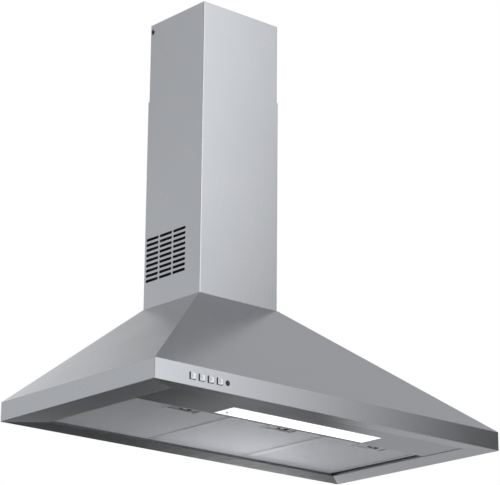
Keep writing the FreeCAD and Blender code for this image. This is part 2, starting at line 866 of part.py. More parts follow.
def bulb_profile(side):
    """A screw cap, a neck, the widest part and the drawn-out tip of a candle bulb."""

    def along(share):
        return f"{side} * (lamp_cap_length + bulb_length * {share})"

    return [
        ("0", "0"),
        ("0", "lamp_cap_radius"),
        (along(0), "lamp_cap_radius"),
        (along(SHOULDER_SHARE), "bulb_radius"),
        (along(NECK_SHARE), f"bulb_radius * {TIP_SHARE}"),
        (along(TIP_SHARE), f"bulb_radius * {SHOULDER_SHARE}"),
        (along(1), "0"),
    ]


# The push buttons


def switch_block():
    """The moulded housing behind the rim that guides the four buttons and holds the lamp."""
    body = new_piece("switch_block")
    ends = (minus("button_first + switch_block_margin"), minus("lens_side - switch_block_margin"))
    deep = minus("rim_inside - switch_block_depth")
    block(body, ends, (minus("rim_inside"), deep), ("block_low", "block_high"))
    caps = sketch_on(body, "XZ", out="rim_inside - cap_room")
    stems = sketch_on(body, "XZ", out="stem_end - button_travel - seam")
    for i in range(BUTTONS):
        add_rectangle(caps, *button_window(i))
        add_rectangle(stems, *stem_window(i, "button_gap"))
    extrude(body, caps, "cap_room + overrun", cut=True)
    extrude(body, stems, "button_stem_length + button_travel + 2 * seam", cut=True)
    lens = [(minus("lens_side"), "button_level")]
    depth = (minus("rim_inside + overrun"), minus("rim_inside - lens_length"))
    bores(body, "Y", lens, "lens_radius + button_gap", depth)


def stem_window(i, gap):
    x = tuple(f"{button_middle(i)} {sign} (button_stem / 2 + {gap})" for sign in "-+")
    z = tuple(f"button_level {sign} (button_stem / 2 + {gap})" for sign in "-+")
    return x, z


def level_with(edge, face):
    return near(edge.BoundBox.YMin, face) and near(edge.BoundBox.YMax, face)


def push_buttons():
    """Four square buttons that stand out of the rim, each with a square stem behind."""
    face = "hood_depth + button_stand"
    for i in range(BUTTONS):
        body = new_piece(f"push_button_{i + 1}")
        x, z = button_window(i, "0")
        block(body, x, (minus(face), minus(f"{face} - button_cap_depth")), z)
        round_edges(body, "button_round", lambda edge: level_with(edge, minus(face)))
        x, z = stem_window(i, "0")
        block(body, x, (minus(f"{face} - button_cap_depth + steel"), minus("stem_end")), z)


def indicator_lens():
    body = new_piece("indicator_lens")
    place = (minus("lens_side"), minus("hood_depth"), "button_level")
    back = "steel + lens_length - seam"
    turned(
        body,
        "Y",
        place,
        [
            (minus("lens_stand"), "0"),
            (minus("lens_stand"), f"lens_radius * {NECK_SHARE}"),
            ("0", "lens_radius"),
            (back, "lens_radius"),
            (back, "0"),
        ],
    )


# The filters


def filter_cassettes():
    for i in range(FILTERS):
        filter_frame(i)
        filter_mesh(i)
        filter_handle(i)
        filter_latch(i)


def around(i, half):
    return (f"{filter_middle(i)} - ({half})", f"{filter_middle(i)} + {half}")


def at_handle(i, left, right=None):
    """The ends of a width at the middle of a handle, which sits right of its filter's middle."""
    middle = f"{filter_middle(i)} + handle_offset"
    return (f"{middle} - ({left})", f"{middle} + {right or left}")


def filter_frame(i):
    """A channel frame round the mesh, a land for the handle, and a keeper over the latch."""
    body = new_piece(f"filter_frame_{i + 1}")
    front, back = minus("filter_front"), minus("filter_back")
    block(body, around(i, "filter_width / 2"), (front, back), ("filter_bottom", "filter_top"))
    inner = (f"{front} + filter_skin", f"{back} - filter_skin")
    channel = ("filter_bottom + filter_skin", "filter_top - filter_skin")
    room(body, around(i, "filter_width / 2 - filter_skin"), inner, channel)
    window = (f"{front} + filter_border", f"{back} - filter_border")
    through = ("filter_bottom - overrun", "filter_top + overrun")
    room(body, around(i, "filter_width / 2 - filter_border"), window, through)
    block(body, at_handle(i, "land_half"), (front, minus("land_back")), ("filter_bottom", "filter_top"))
    cup = (minus("cup_front + seam"), minus("cup_back - seam"))
    room(body, at_handle(i, "cup_width / 2 + seam"), cup, through)
    keeper = (minus("keeper_front"), minus("keeper_back"))
    inside = "latch_half_width + seam"
    bridge_low = "latch_high + seam"
    levels = ("filter_top - filter_skin", f"{bridge_low} + keeper_bridge")
    block(body, at_handle(i, f"{inside} + keeper_leg"), keeper, levels)
    room(body, at_handle(i, inside), keeper, ("filter_top", bridge_low))


def filter_mesh(i):
    """The grease mesh, held in the channel of the frame and cut away round the handle's land."""
    body = new_piece(f"filter_mesh_{i + 1}")
    front, back = minus("filter_front - filter_skin - seam"), minus("filter_back + filter_skin + seam")
    levels = ("filter_bottom + filter_skin", "filter_top - filter_skin - seam")
    block(body, around(i, "filter_width / 2 - filter_skin - seam"), (front, back), levels)
    land = (f"{front} - overrun", minus("land_back - seam"))
    room(body, at_handle(i, "land_half + seam"), land, ("0", "filter_top"))


def filter_handle(i):
    """The finger cup pressed into the filter's front edge, with a window for the latch."""
    body = new_piece(f"filter_handle_{i + 1}")
    low = "filter_bottom + seam"
    block(body, at_handle(i, "cup_width / 2"), (minus("cup_front"), minus("cup_back")), (low, "cup_top"))
    inner = (minus("cup_front - cup_wall"), minus("cup_back + cup_wall"))
    room(body, at_handle(i, "cup_width / 2 - cup_wall"), inner, ("0", "cup_top - cup_wall"))
    window = (minus("latch_window_front"), minus("latch_window_front - latch_window_depth"))
    room(body, at_handle(i, "latch_window_left", "latch_window_right"), window, ("0", "cup_top + overrun"))


def filter_latch(i):
    """The sliding latch: a tongue under the keeper, a tail and a finger tab in the cup."""
    body = new_piece(f"filter_latch_{i + 1}")
    levels = ("latch_low", "latch_high")
    block(body, at_handle(i, "latch_half_width"), (minus("latch_tip"), minus("latch_shoulder")), levels)
    grip = at_handle(i, "latch_grip_left", "latch_grip_right")
    tail = minus("latch_shoulder - latch_grip_length")
    block(body, grip, (minus("latch_shoulder + latch_thickness"), tail), levels)
    tab = (minus("latch_tab_front"), minus("latch_tab_front - latch_tab_thickness"))
    side = tuple(f"{edge} {sign} seam" for edge, sign in zip(grip, "+-"))
    block(body, side, tab, ("latch_low - latch_tab_drop", "latch_high"))


# The blower


def scroll_outline(wall):
    """The spiral casing seen from the side: three quarter arcs, each a step larger, and the outlet."""
    y, z = minus("spiral_back"), "spiral_level"
    one = f"(scroll_start + {wall})"
    two = f"(scroll_start + scroll_step + {wall})"
    three = f"(scroll_start + 2 * scroll_step + {wall})"
    y_two, z_three = f"{y} + scroll_step", f"{z} + scroll_step"
    lip = f"{z} + sqrt({one} ^ 2 - ({wall}) ^ 2)"
    corners = [
        (f"{y} - {wall}", "scroll_top"),
        (f"{y} - {wall}", lip),
        (f"{y} - {one}", z),
        (y_two, f"{z} - {two}"),
        (f"{y_two} + {three}", z_three),
        (f"{y_two} + {three}", "scroll_top"),
    ]
    arcs = {1: (y, z, True), 2: (y_two, z, True), 3: (y_two, z_three, True)}
    return corners, arcs


def blower_housing():
    """The strip that wraps round the wheel and rises into the outlet."""
    body = new_piece("blower_housing")
    corners, arcs = scroll_outline("blower_wall")
    sheet_outline(body, "YZ", corners, minus("blower_half_width"), "2 * blower_half_width", arcs=arcs)
    corners, arcs = scroll_outline("0")
    corners[0] = (corners[0][0], "scroll_top + overrun")
    corners[-1] = (corners[-1][0], "scroll_top + overrun")
    start = minus("blower_half_width + overrun")
    sheet_outline(body, "YZ", corners, start, "2 * (blower_half_width + overrun)", cut=True, arcs=arcs)


def fan_place(x):
    return (x, minus("fan_back"), "fan_level")


def blower_sides():
    """A side plate at each end of the casing, with the round inlet and its rolled lip."""
    for name, side in (("left", -1), ("right", 1)):
        body = new_piece(f"blower_side_{name}")
        corners, arcs = scroll_outline("blower_wall")
        start = minus("plate_side") if side < 0 else "blower_half_width"
        sheet_outline(body, "YZ", corners, start, "blower_wall", arcs=arcs)
        centre = [(minus("fan_back"), "fan_level")]
        bores(body, "X", centre, "inlet_radius", (f"{start} - overrun", f"{start} + blower_wall + overrun"))
        lip = [
            ("0", "inlet_radius"),
            ("0", "inlet_radius + blower_wall"),
            (f"{side} * inlet_lip", "inlet_radius + blower_wall"),
            (f"{side} * inlet_lip", "inlet_radius"),
        ]
        if side > 0:
            turned(body, "X", fan_place("blower_half_width"), lip)
        else:
            through = (f"{start} - overrun", f"{start} + blower_wall + overrun")
            bores(body, "X", spider_feet(), "screw_hole", through)


def spider_feet():
    """The three feet of the motor bracket, as (y, z) places round the fan's axis."""
    return [
        (f"{minus('fan_back')} + grommet_place * cos({angle})", f"fan_level + grommet_place * sin({angle})")
        for angle in (90, 210, 330)
    ]


def motor_bracket():
    """The three-armed bracket that holds the motor in the left inlet."""
    body = new_piece("motor_bracket")
    start = minus("ear_of_spider")
    centre = [(minus("fan_back"), "fan_level")]
    rounds(body, "X", centre, "spider_ring", (start, minus("plate_side")))
    arm = sketch_on(body, "YZ", minus("fan_back"), "fan_level", start)
    add_rectangle(arm, (minus("spider_arm / 2"), "spider_arm / 2"), ("0", "spider_reach"))
    arm_pad = extrude(body, arm, "spider_steel")
    pattern(body, arm_pad, "PolarPattern", (arm, ["N_Axis"]), SPIDER_ARMS)
    through = (f"{start} - overrun", minus("plate_side - overrun"))
    bores(body, "X", spider_feet(), "screw_hole", through)
    bores(body, "X", centre, "bearing_radius", through)


def motor_grommets():
    body = new_piece("motor_grommets")
    span = (minus("ear_of_spider + grommet_length"), minus("ear_of_spider"))
    rounds(body, "X", spider_feet(), "grommet_radius", span)
    bores(body, "X", spider_feet(), "screw_hole", (f"{span[0]} - overrun", f"{span[1]} + overrun"))


def motor_housing():
    """The can of the motor, closed at the inner end, with a seat for the inner bearing."""
    body = new_piece("motor_housing")
    centre = [(minus("fan_back"), "fan_level")]
    outer, inner = minus("motor_outer_end"), minus("motor_inner_end")
    rounds(body, "X", centre, "motor_radius", (outer, inner))
    bores(body, "X", centre, "motor_radius - motor_wall", (f"{outer} - overrun", f"{inner} - motor_wall"))
    seat = "bearing_radius + slack"
    boss = f"{inner} - motor_wall - bearing_width"
    rounds(body, "X", centre, f"{seat} + bearing_seat", (boss, inner))
    bores(body, "X", centre, seat, (f"{boss} - overrun", f"{inner} - motor_wall"))
    bores(body, "X", centre, "shaft_radius + seam", (f"{boss} - overrun", f"{inner} + overrun"))


def motor_end_cap():
    """The outer end of the motor, bolted to the bracket, with a seat for the outer bearing."""
    body = new_piece("motor_end_cap")
    centre = [(minus("fan_back"), "fan_level")]
    outer = minus("plate_side")
    rounds(body, "X", centre, "motor_radius", (outer, minus("motor_outer_end")))
    seat = "bearing_radius + slack"
    rounds(body, "X", centre, f"{seat} + bearing_seat", (outer, f"{outer} + motor_wall + bearing_width"))
    end = f"{outer} + motor_wall + bearing_width + overrun"
    bores(body, "X", centre, seat, (f"{outer} + motor_wall", end))


def motor_bearings():
    """Two plain ball-bearing rings, one in each seat."""
    body = new_piece("motor_bearings")
    centre = [(minus("fan_back"), "fan_level")]
    outer = "motor_wall - plate_side"
    inner = minus("motor_inner_end + motor_wall")
    rounds(body, "X", centre, "bearing_radius", (outer, f"{outer} + bearing_width"))
    rounds(body, "X", centre, "bearing_radius", (f"{inner} - bearing_width", inner))
    bores(body, "X", centre, "shaft_bore", (f"{outer} - overrun", f"{inner} + overrun"))


def motor_stator():
    body = new_piece("motor_stator")
    centre = [(minus("fan_back"), "fan_level")]
    span = (minus("stator_start"), minus("stator_end"))
    rounds(body, "X", centre, "motor_radius - motor_wall - stator_outer_gap", span)
    bores(body, "X", centre, "stator_inner_radius", (f"{span[0]} - overrun", f"{span[1]} + overrun"))


def motor_rotor():
    body = new_piece("motor_rotor")
    centre = [(minus("fan_back"), "fan_level")]
    span = (minus("stator_start"), minus("stator_end"))
    rounds(body, "X", centre, "stator_inner_radius - rotor_gap", span)
    bores(body, "X", centre, "shaft_bore", (f"{span[0]} - overrun", f"{span[1]} + overrun"))


def motor_shaft():
    body = new_piece("motor_shaft")
    start = "motor_wall + seam - plate_side"
    rounds(body, "X", [(minus("fan_back"), "fan_level")], "shaft_radius", (start, "shaft_end"))


def impeller():
    """The double-inlet wheel: a middle disc on a hub, an end ring at each side, and curved blades."""
    body = new_piece("impeller")
    centre = [(minus("fan_back"), "fan_level")]
    disc = (minus("impeller_disc / 2"), "impeller_disc / 2")
    rounds(body, "X", centre, "impeller_radius", disc)
    hub = (minus("impeller_hub_length / 2"), "impeller_hub_length / 2")
    rounds(body, "X", centre, "impeller_hub_radius", hub)
    bores(body, "X", centre, "shaft_bore", (f"{hub[0]} - overrun", f"{hub[1]} + overrun"))
    inner = "impeller_radius - blade_depth"
    for edge in ("0 - impeller_half_width", "impeller_half_width - impeller_ring"):
        outer = "impeller_radius"
        ring = [("0", inner), ("impeller_ring", inner), ("impeller_ring", outer), ("0", outer)]
        turned(body, "X", fan_place(edge), ring)
    blade = sketch_on(body, "YZ", minus("fan_back"), "fan_level", minus("impeller_half_width"))
    reach = "impeller_radius - impeller_ring / 4"
    start = f"{inner} + impeller_ring / 4"
    tip = "blade_sweep + blade_thickness"
    corners = [(start, "0"), (reach, "blade_sweep"), (reach, tip), (start, "blade_thickness")]
    add_outline(blade, corners)
    pad = extrude(body, blade, "2 * impeller_half_width")
    pattern(body, pad, "PolarPattern", (blade, ["N_Axis"]), BLADES)


def impeller_nut():
    body = new_piece("impeller_nut")
    centre = [(minus("fan_back"), "fan_level")]
    start = "impeller_hub_length / 2"
    rounds(body, "X", centre, "nut_radius", (start, f"{start} + nut_length"))
    bores(body, "X", centre, "shaft_bore", (f"{start} - overrun", f"{start} + nut_length + overrun"))


def blower_bracket():
    """The hat-shaped bracket that carries the casing on the rear panel."""
    body = new_piece("blower_bracket")
    levels = ("hat_low", "hat_high")
    wide = "hat_half_width + hat_flange"
    face = "outlet_back - blower_wall"
    block(body, (minus("hat_half_width"), "hat_half_width"), (minus(face), minus("steel")), levels)
    inner = (minus("hat_half_width - steel"), "hat_half_width - steel")
    through = (f"{levels[0]} - overrun", f"{levels[1]} + overrun")
    room(body, inner, (minus(f"{face} - steel"), "overrun"), through)
    for side in (-1, 1):
        ends = in_order(f"{side} * ({wide})", f"{side} * (hat_half_width - steel)")
        block(body, ends, (minus("2 * steel"), minus("steel")), levels)
    bores(body, "Y", panel_screw_places()[:4], "screw_hole", (minus("3 * steel"), "overrun"))


# The duct collar


def outlet_collar():
    """The adaptor from the casing's rectangular outlet to the round duct spigot."""
    body = new_piece("outlet_collar")
    foot = "canopy_top - steel - seam"
    back, front = minus("outlet_back"), minus("spiral_back")
    wall = "blower_wall"
    outer = ((minus("plate_side"), "plate_side"), (f"{front} - {wall}", f"{back} + {wall}"))
    inner = ((minus("blower_half_width"), "blower_half_width"), (front, back))
    middle = ("0", minus("duct_back"))
    loft(body, [("scroll_top", "rectangle", outer), (foot, "circle", (*middle, "collar_root"))])
    rounds(body, "Z", [middle], "collar_root", (foot, "canopy_top"))
    rounds(body, "Z", [middle], "collar_radius", ("canopy_top", "collar_top"))
    rounds(body, "Z", [middle], "collar_flange_radius", ("canopy_top", f"canopy_top + {wall}"))
    loft(body, [("scroll_top", "rectangle", inner), (foot, "circle", (*middle, "collar_inner"))], cut=True)
    bores(body, "Z", [middle], "collar_inner", (foot, "collar_top + overrun"))
    ledge = "flap_ledge_top - flap_thickness"
    turned(
        body,
        "Z",
        ("0", minus("duct_back"), ledge),
        [
            ("0", "collar_inner - flap_ledge"),
            ("0", "collar_inner + collar_wall / 2"),
            ("flap_thickness", "collar_inner + collar_wall / 2"),
            ("flap_thickness", "collar_inner - flap_ledge"),
        ],
    )
    flange = ("canopy_top - overrun", "canopy_top + 2 * collar_wall")
    bores(body, "Z", collar_screw_places(), "small_screw_hole", flange)
    ends = (minus("collar_radius + overrun"), "collar_radius + overrun")
    bores(body, "X", [(minus("duct_back"), "flap_axis")], "flap_pin_radius + slack", ends)


def damper_pin():
    body = new_piece("damper_pin")
    half = "collar_radius - collar_wall / 4"
    rounds(body, "X", [(minus("duct_back"), "flap_axis")], "flap_pin_radius", (minus(half), half))


def damper_flaps():
    """Two half discs on one pin. Air lifts them, and their weight closes them."""
    for name, side in (("front", 1), ("rear", -1)):
        body = new_piece(f"damper_flap_{name}")
        middle = ("0", minus("duct_back"))
        low, high = "flap_axis - flap_thickness / 2", "flap_axis + flap_thickness / 2"
        rounds(body, "Z", [middle], "flap_radius", (low, high))
        edge = f"{-side} * (flap_barrel_radius + 2 * seam) - duct_back"
        beyond = f"{side} * (flap_radius + overrun) - duct_back"
        away = in_order(edge, beyond)
        wide = (minus("flap_radius + overrun"), "flap_radius + overrun")
        room(body, wide, away, (f"{low} - overrun", f"{high} + overrun"))
        spans = (
            (f"{-side} * (flap_barrel_outer + flap_barrel_length)", f"{-side} * flap_barrel_outer"),
            (f"{side} * flap_barrel_inner", f"{side} * (flap_barrel_inner + flap_barrel_length)"),
        )
        for span in spans:
            ends = in_order(*span)
            block(body, ends, in_order(f"{edge} - {side} * steel", minus("duct_back")), (low, high))
            rounds(body, "X", [(minus("duct_back"), "flap_axis")], "flap_barrel_radius", ends)
        bores(body, "X", [(minus("duct_back"), "flap_axis")], "flap_pin_radius + slack", wide)


# The chimney covers


def lower_cover():
    """The outer chimney cover: a U of sheet with vents in both sides and tabs at the foot."""
    body = new_piece("lower_chimney")
    levels = ("canopy_top", "lower_cover_top")
    cover_profile(body, "half_chimney", "chimney_depth", "0", levels)
    sketch = sketch_on(body, "YZ", out=minus("half_chimney + overrun"))
    radius = "vent_height / 2"
    low = "canopy_top + vent_first - vent_height / 2"
    for i in range(VENT_COLUMNS):
        back = f"{minus('vent_back')} - {i} * (vent_length + vent_space)"
        front = f"{back} - vent_length"
        corners = [
            (f"{front} + {radius}", low),
            (f"{back} - {radius}", low),
            (f"{back} - {radius}", f"{low} + vent_height"),
            (f"{front} + {radius}", f"{low} + vent_height"),
        ]
        middle = f"{low} + {radius}"
        arcs = {1: (f"{back} - {radius}", middle, True), 3: (f"{front} + {radius}", middle, True)}
        add_outline(sketch, corners, arcs)
    slots = extrude(body, sketch, "chimney_width + 2 * overrun", cut=True)
    upwards = next(item for item in body.Origin.OriginFeatures if item.Role == "Z_Axis")
    pattern(body, slots, "LinearPattern", (upwards, [""]), VENT_ROWS, spacing="vent_pitch")
    for side in (-1, 1):
        inner = f"{side} * (half_chimney - steel - cover_tab)"
        width = in_order(f"{side} * (half_chimney - steel / 2)", inner)
        depth = (minus("duct_back + cover_tab_length / 2"), minus("duct_back - cover_tab_length / 2"))
        block(body, width, depth, ("canopy_top", "canopy_top + steel"))
    through = ("canopy_top - overrun", "canopy_top + steel + overrun")
    bores(body, "Z", cover_screw_places(), "screw_hole", through)


def cover_profile(body, half, front, back, levels):
    """A U-shaped cover with rounded front corners and a flange turned in along each rear edge."""
    block(body, (minus(half), half), (minus(front), minus(back)), levels)
    round_edges(body, "cover_bend", lambda edge: upright_at(edge, half, minus(front)))
    inner, inner_front = f"{half} - steel", f"{front} - steel"
    above, below = f"{levels[1]} + overrun", f"{levels[0]} - overrun"
    room(body, (minus(inner), inner), (minus(inner_front), "overrun"), (below, above))
    for side in (-1, 1):
        ends = in_order(f"{side} * ({half} - steel / 2)", f"{side} * ({half} - steel - cover_flange)")
        block(body, ends, (minus(f"{back} + steel"), minus(back)), levels)


def upper_cover():
    """The inner chimney cover, which slides in the lower one, with a fixing slot in each side."""
    body = new_piece("upper_chimney")
    levels = ("upper_cover_low", "upper_cover_top")
    cover_profile(body, "upper_half", "upper_front", "upper_back", levels)
    sketch = sketch_on(body, "YZ", out=minus("upper_half + overrun"))
    radius, half = "fixing_slot_width / 2", "(fixing_slot_height - fixing_slot_width) / 2"
    back = minus("fixing_slot_back")
    corners = [
        (f"{back} - {radius}", f"fixing_level - {half}"),
        (f"{back} + {radius}", f"fixing_level - {half}"),
        (f"{back} + {radius}", f"fixing_level + {half}"),
        (f"{back} - {radius}", f"fixing_level + {half}"),
    ]
    arcs = {0: (back, f"fixing_level - {half}", True), 2: (back, f"fixing_level + {half}", True)}
    add_outline(sketch, corners, arcs)
    extrude(body, sketch, "2 * (upper_half + overrun)", cut=True)


def chimney_bracket():
    """The wall bracket inside the top of the chimney, with an ear for each side screw."""
    body = new_piece("chimney_bracket")
    levels = ("fixing_level - bracket_height / 2", "fixing_level + bracket_height / 2")
    block(body, (minus("bracket_half_strip"), "bracket_half_strip"), (minus("bracket_steel"), "0"), levels)
    for side in (-1, 1):
        inner = f"{side} * (bracket_half_strip - bracket_steel)"
        leg = in_order(f"{side} * bracket_half_strip", inner)
        block(body, leg, (minus("bracket_jog"), "0"), levels)
        jog = in_order(f"{side} * half_ear", inner)
        jog_back = minus("bracket_jog - bracket_steel")
        block(body, jog, (minus("bracket_jog"), jog_back), levels)
        ear = in_order(f"{side} * half_ear", f"{side} * (half_ear - bracket_steel)")
        block(body, ear, (minus("bracket_ear"), jog_back), levels)
    ends = (minus("half_ear + overrun"), "half_ear + overrun")
    bores(body, "X", [(minus("fixing_slot_back"), "fixing_level")], "screw_hole", ends)
    places = [(f"{side} * bracket_hole_spacing / 2", "fixing_level") for side in (-1, 1)]
    bores(body, "Y", places, "bracket_hole_radius", (minus("bracket_steel + overrun"), "overrun"))


# The terminal box


def control_box():
    """The open box on the rear panel for the capacitor and the terminals."""
    body = new_piece("control_box")
    back = minus("steel")
    depth = (minus("steel + box_depth"), back)
    block(body, ("box_side", "box_far_side"), depth, ("box_floor", "box_ceiling"))
    room(
        body,
        ("box_side + box_wall", "box_far_side - box_wall"),
        (minus("steel + box_depth + overrun"), f"{back} - box_wall"),
        ("box_floor + box_wall", "box_ceiling - box_wall"),
    )
    bores(body, "Y", panel_screw_places()[4:], "screw_hole", (minus("2 * steel + 2 * box_wall"), "overrun"))


def control_box_cover():
    body = new_piece("control_box_cover")
    front = "steel + box_depth"
    depth = (minus(f"{front} + box_wall"), minus(front))
    block(body, ("box_side", "box_far_side"), depth, ("box_floor", "box_ceiling"))


def capacitor():
    body = new_piece("capacitor")
    floor = "box_floor + box_wall"
    place = ("capacitor_right", minus("steel + box_depth / 2"))
    rounds(body, "Z", [place], "capacitor_radius", (floor, f"{floor} + capacitor_height"))


def terminal_block():
    """A row of four terminals, open towards the cover."""
    body = new_piece("terminal_block")
    back = "steel + box_wall"
    ends = ("terminal_left", "terminal_left + terminal_width")
    levels = ("terminal_level", "terminal_level + terminal_height")
    block(body, ends, (minus(f"{back} + terminal_depth"), minus(back)), levels)
    places = [
        (
            f"terminal_left + terminal_width * {2 * i + 1} / {2 * TERMINALS}",
            "terminal_level + terminal_height / 2",
        )
        for i in range(TERMINALS)
    ]
    front = minus(f"{back} + terminal_depth")
    bores(body, "Y", places, "small_head_radius", (f"{front} - overrun", f"{front} + terminal_depth / 2"))


def cable_gland():
    """The grommet in the top plate through which the mains lead leaves."""
    body = new_piece("cable_gland")
    centre = [(minus("gland_offset"), minus("gland_back"))]
    top = "canopy_top + gland_flange"
    rounds(body, "Z", centre, "gland_radius", (f"{top} - gland_length", "canopy_top"))
    rounds(body, "Z", centre, "gland_flange_radius", ("canopy_top", top))
    bores(body, "Z", centre, "gland_bore_radius", (f"{top} - gland_length - overrun", f"{top} + overrun"))


# The fasteners


def diffuser_screw():
    """The screw through the diffuser and the reflector. Its head is below the diffuser."""
    body = new_piece("diffuser_screw")
    add_screws(body, "Z", diffuser_screw_place(), "steel", "reflector_foot + small_head", small=True)


def collar_screws():
    body = new_piece("collar_screws")
    tip = "canopy_top - 3 * steel"
    add_screws(body, "Z", collar_screw_places(), "canopy_top + blower_wall", tip, small=True)


def machine_screws():
    """Five like screws: two in the tabs of the lower cover and three in the feet of the motor's bracket."""
    body = new_piece("machine_screws")
    under_head = "canopy_top + steel"
    add_screws(body, "Z", cover_screw_places(), under_head, f"{under_head} - screw_length")
    under_head = minus("ear_of_spider + grommet_length")
    add_screws(body, "X", spider_feet(), under_head, f"{under_head} + screw_length")


def panel_screws():
    """The screws of the blower's bracket and of the terminal box, all flush in the rear panel."""
    body = new_piece("panel_screws")
    places = panel_screw_places()
    add_screws(body, "Y", places[:4], minus("2 * steel"), minus("slack"))
    add_screws(body, "Y", places[4:], minus("steel + box_wall"), minus("slack"))


def chimney_bracket_screws():
    """One screw through each side of the upper cover into the ear of the bracket."""
    body = new_piece("chimney_bracket_screws")
    place = [(minus("fixing_slot_back"), "fixing_level")]
    for side in (-1, 1):
        under_head = f"{side} * upper_half"
        add_screws(body, "X", place, under_head, f"{under_head} - {side} * screw_length")


def main():
    canopy_front()
    canopy_sides()
    top_plate()
    rear_panel()
    rear_ledge()
    light_panel()
    light_diffuser()
    lamp_reflector()
    lamps()
    switch_block()
    push_buttons()
    indicator_lens()
    filter_cassettes()
    blower_housing()
    blower_sides()
    motor_bracket()
    motor_grommets()
    motor_housing()
    motor_end_cap()
    motor_bearings()
    motor_stator()
    motor_rotor()
    motor_shaft()
    impeller()
    impeller_nut()
    blower_bracket()
    outlet_collar()
    damper_pin()
    damper_flaps()
    lower_cover()
    upper_cover()
    chimney_bracket()
    control_box()
    control_box_cover()
    capacitor()
    terminal_block()
    cable_gland()
    diffuser_screw()
    collar_screws()
    machine_screws()
    panel_screws()
    chimney_bracket_screws()
    check_and_export()


def check_and_export():
    """Writes one file for each piece, once every object and every shape is sound."""
    doc.recompute()
    for thing in doc.Objects:
        if "Invalid" in thing.State or "Error" in thing.State:
            raise ValueError(f"{thing.Label} failed: {thing.State}")
    for piece in pieces:
        if piece.Shape.isNull() or not piece.Shape.isValid():
            raise ValueError(f"{piece.Label} has no valid shape")
    os.makedirs("parts", exist_ok=True)
    for piece in pieces:
        piece.Shape.exportStep(f"parts/{piece.Label}.step")
        print(piece.Label, len(piece.Shape.Solids), round(piece.Shape.Volume))


main()
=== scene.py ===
# %% [markdown]
# A wall-mounted range hood, dressed for a studio picture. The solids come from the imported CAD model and
# stay where they are. This file gives them finishes, replaces a few with finer pieces, and sets up the
# camera, the lamps and the floor. All lengths are in metres: +X to the right, +Y into the wall, +Z up.

import json
import math

import bmesh
import bpy
from mathutils import Matrix, Vector


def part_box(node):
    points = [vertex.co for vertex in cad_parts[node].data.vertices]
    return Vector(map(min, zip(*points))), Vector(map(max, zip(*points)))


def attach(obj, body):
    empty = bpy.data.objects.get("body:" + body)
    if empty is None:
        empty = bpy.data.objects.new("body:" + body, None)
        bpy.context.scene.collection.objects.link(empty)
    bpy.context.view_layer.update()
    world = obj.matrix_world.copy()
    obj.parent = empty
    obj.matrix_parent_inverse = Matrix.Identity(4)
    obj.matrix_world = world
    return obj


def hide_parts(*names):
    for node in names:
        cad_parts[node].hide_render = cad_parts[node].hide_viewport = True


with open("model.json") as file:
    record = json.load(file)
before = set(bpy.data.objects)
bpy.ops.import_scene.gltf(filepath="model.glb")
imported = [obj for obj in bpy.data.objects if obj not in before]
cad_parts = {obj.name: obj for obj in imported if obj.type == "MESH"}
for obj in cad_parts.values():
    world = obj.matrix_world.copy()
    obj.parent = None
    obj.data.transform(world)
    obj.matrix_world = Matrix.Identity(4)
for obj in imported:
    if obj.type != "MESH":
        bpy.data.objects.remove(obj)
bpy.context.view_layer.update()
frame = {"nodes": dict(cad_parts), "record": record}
scene = bpy.context.scene
scene.view_settings.view_transform = "Standard"
MM = 0.001

# %% [markdown]
# The photograph was taken from low on the left, looking up. The camera's place was fitted to the corners
# of the canopy and the chimney. A long lens from over four metres keeps the edges nearly parallel.

# %% The camera
AZIMUTH, ELEVATION, ROLL = (math.radians(angle) for angle in (40.824, 17.641, 0.53))
CAMERA_AT, LENS, SENSOR = (-2.7842, -3.4392, -0.9422), 156.19, 36
forward = Vector((
    math.sin(AZIMUTH) * math.cos(ELEVATION),
    math.cos(AZIMUTH) * math.cos(ELEVATION),
    math.sin(ELEVATION),
))
level = forward.cross(Vector((0, 0, 1))).normalized()
upright = level.cross(forward)
right = math.cos(ROLL) * level + math.sin(ROLL) * upright
top = -math.sin(ROLL) * level + math.cos(ROLL) * upright
camera = bpy.data.objects.new("studio_camera", bpy.data.cameras.new("studio_camera"))
scene.collection.objects.link(camera)
camera.data.sensor_width, camera.data.lens = SENSOR, LENS
turn = Matrix((right, top, -forward)).transposed().to_4x4()
camera.matrix_world = Matrix.Translation(CAMERA_AT) @ turn
camera.data.clip_end = 100
scene.camera = camera
print("camera at", tuple(round(value, 3) for value in camera.location))

# %% [markdown]
# The room and every finish are graphs of small nodes. Blender could wire them one socket at a time, but a
# few helpers say the same in a line each: add a node, do a sum, turn one range of numbers into another, and
# make a colour lighter or darker.


# %% Helpers for the node graphs
def add_node(tree, kind, **values):
    """A new node. Each value goes to the input of that name, or else to the node's own setting."""
    node = tree.nodes.new(kind)
    for key, value in values.items():
        if key in node.inputs:
            node.inputs[key].default_value = value
        else:
            setattr(node, key, value)
    return node


def maths(tree, operation, *values):
    """The result of a sum. A value is a number or another node's output."""
    node = add_node(tree, "ShaderNodeMath", operation=operation)
    for socket, value in zip(node.inputs, values):
        if isinstance(value, (int, float)):
            socket.default_value = value
        else:
            tree.links.new(value, socket)
    return node.outputs["Value"]


def reach(tree, value, start, end, **settings):
    """Turns the range start of a value into the range end, and holds it there."""
    node = add_node(tree, "ShaderNodeMapRange", **settings)
    for socket, number in zip(("From Min", "From Max", "To Min", "To Max"), (*start, *end)):
        node.inputs[socket].default_value = number
    tree.links.new(value, node.inputs["Value"])
    return node.outputs["Result"]


def scaled(tree, colour, factor):
    """A colour made lighter or darker by a factor."""
    node = add_node(tree, "ShaderNodeVectorMath", operation="SCALE")
    tree.links.new(colour, node.inputs[0])
    tree.links.new(factor, node.inputs["Scale"])
    return node.outputs["Vector"]


# %% [markdown]
# The light is plain and soft. The background is white for the camera and through glass. Plain surfaces get
# an even light from everywhere. What steel mirrors is a grey room, because brushed steel gets its whole
# look from what stands around it: here a room that is darker to the right and under the ceiling, with
# a soft window behind the camera that lights up the bends of the sheet.

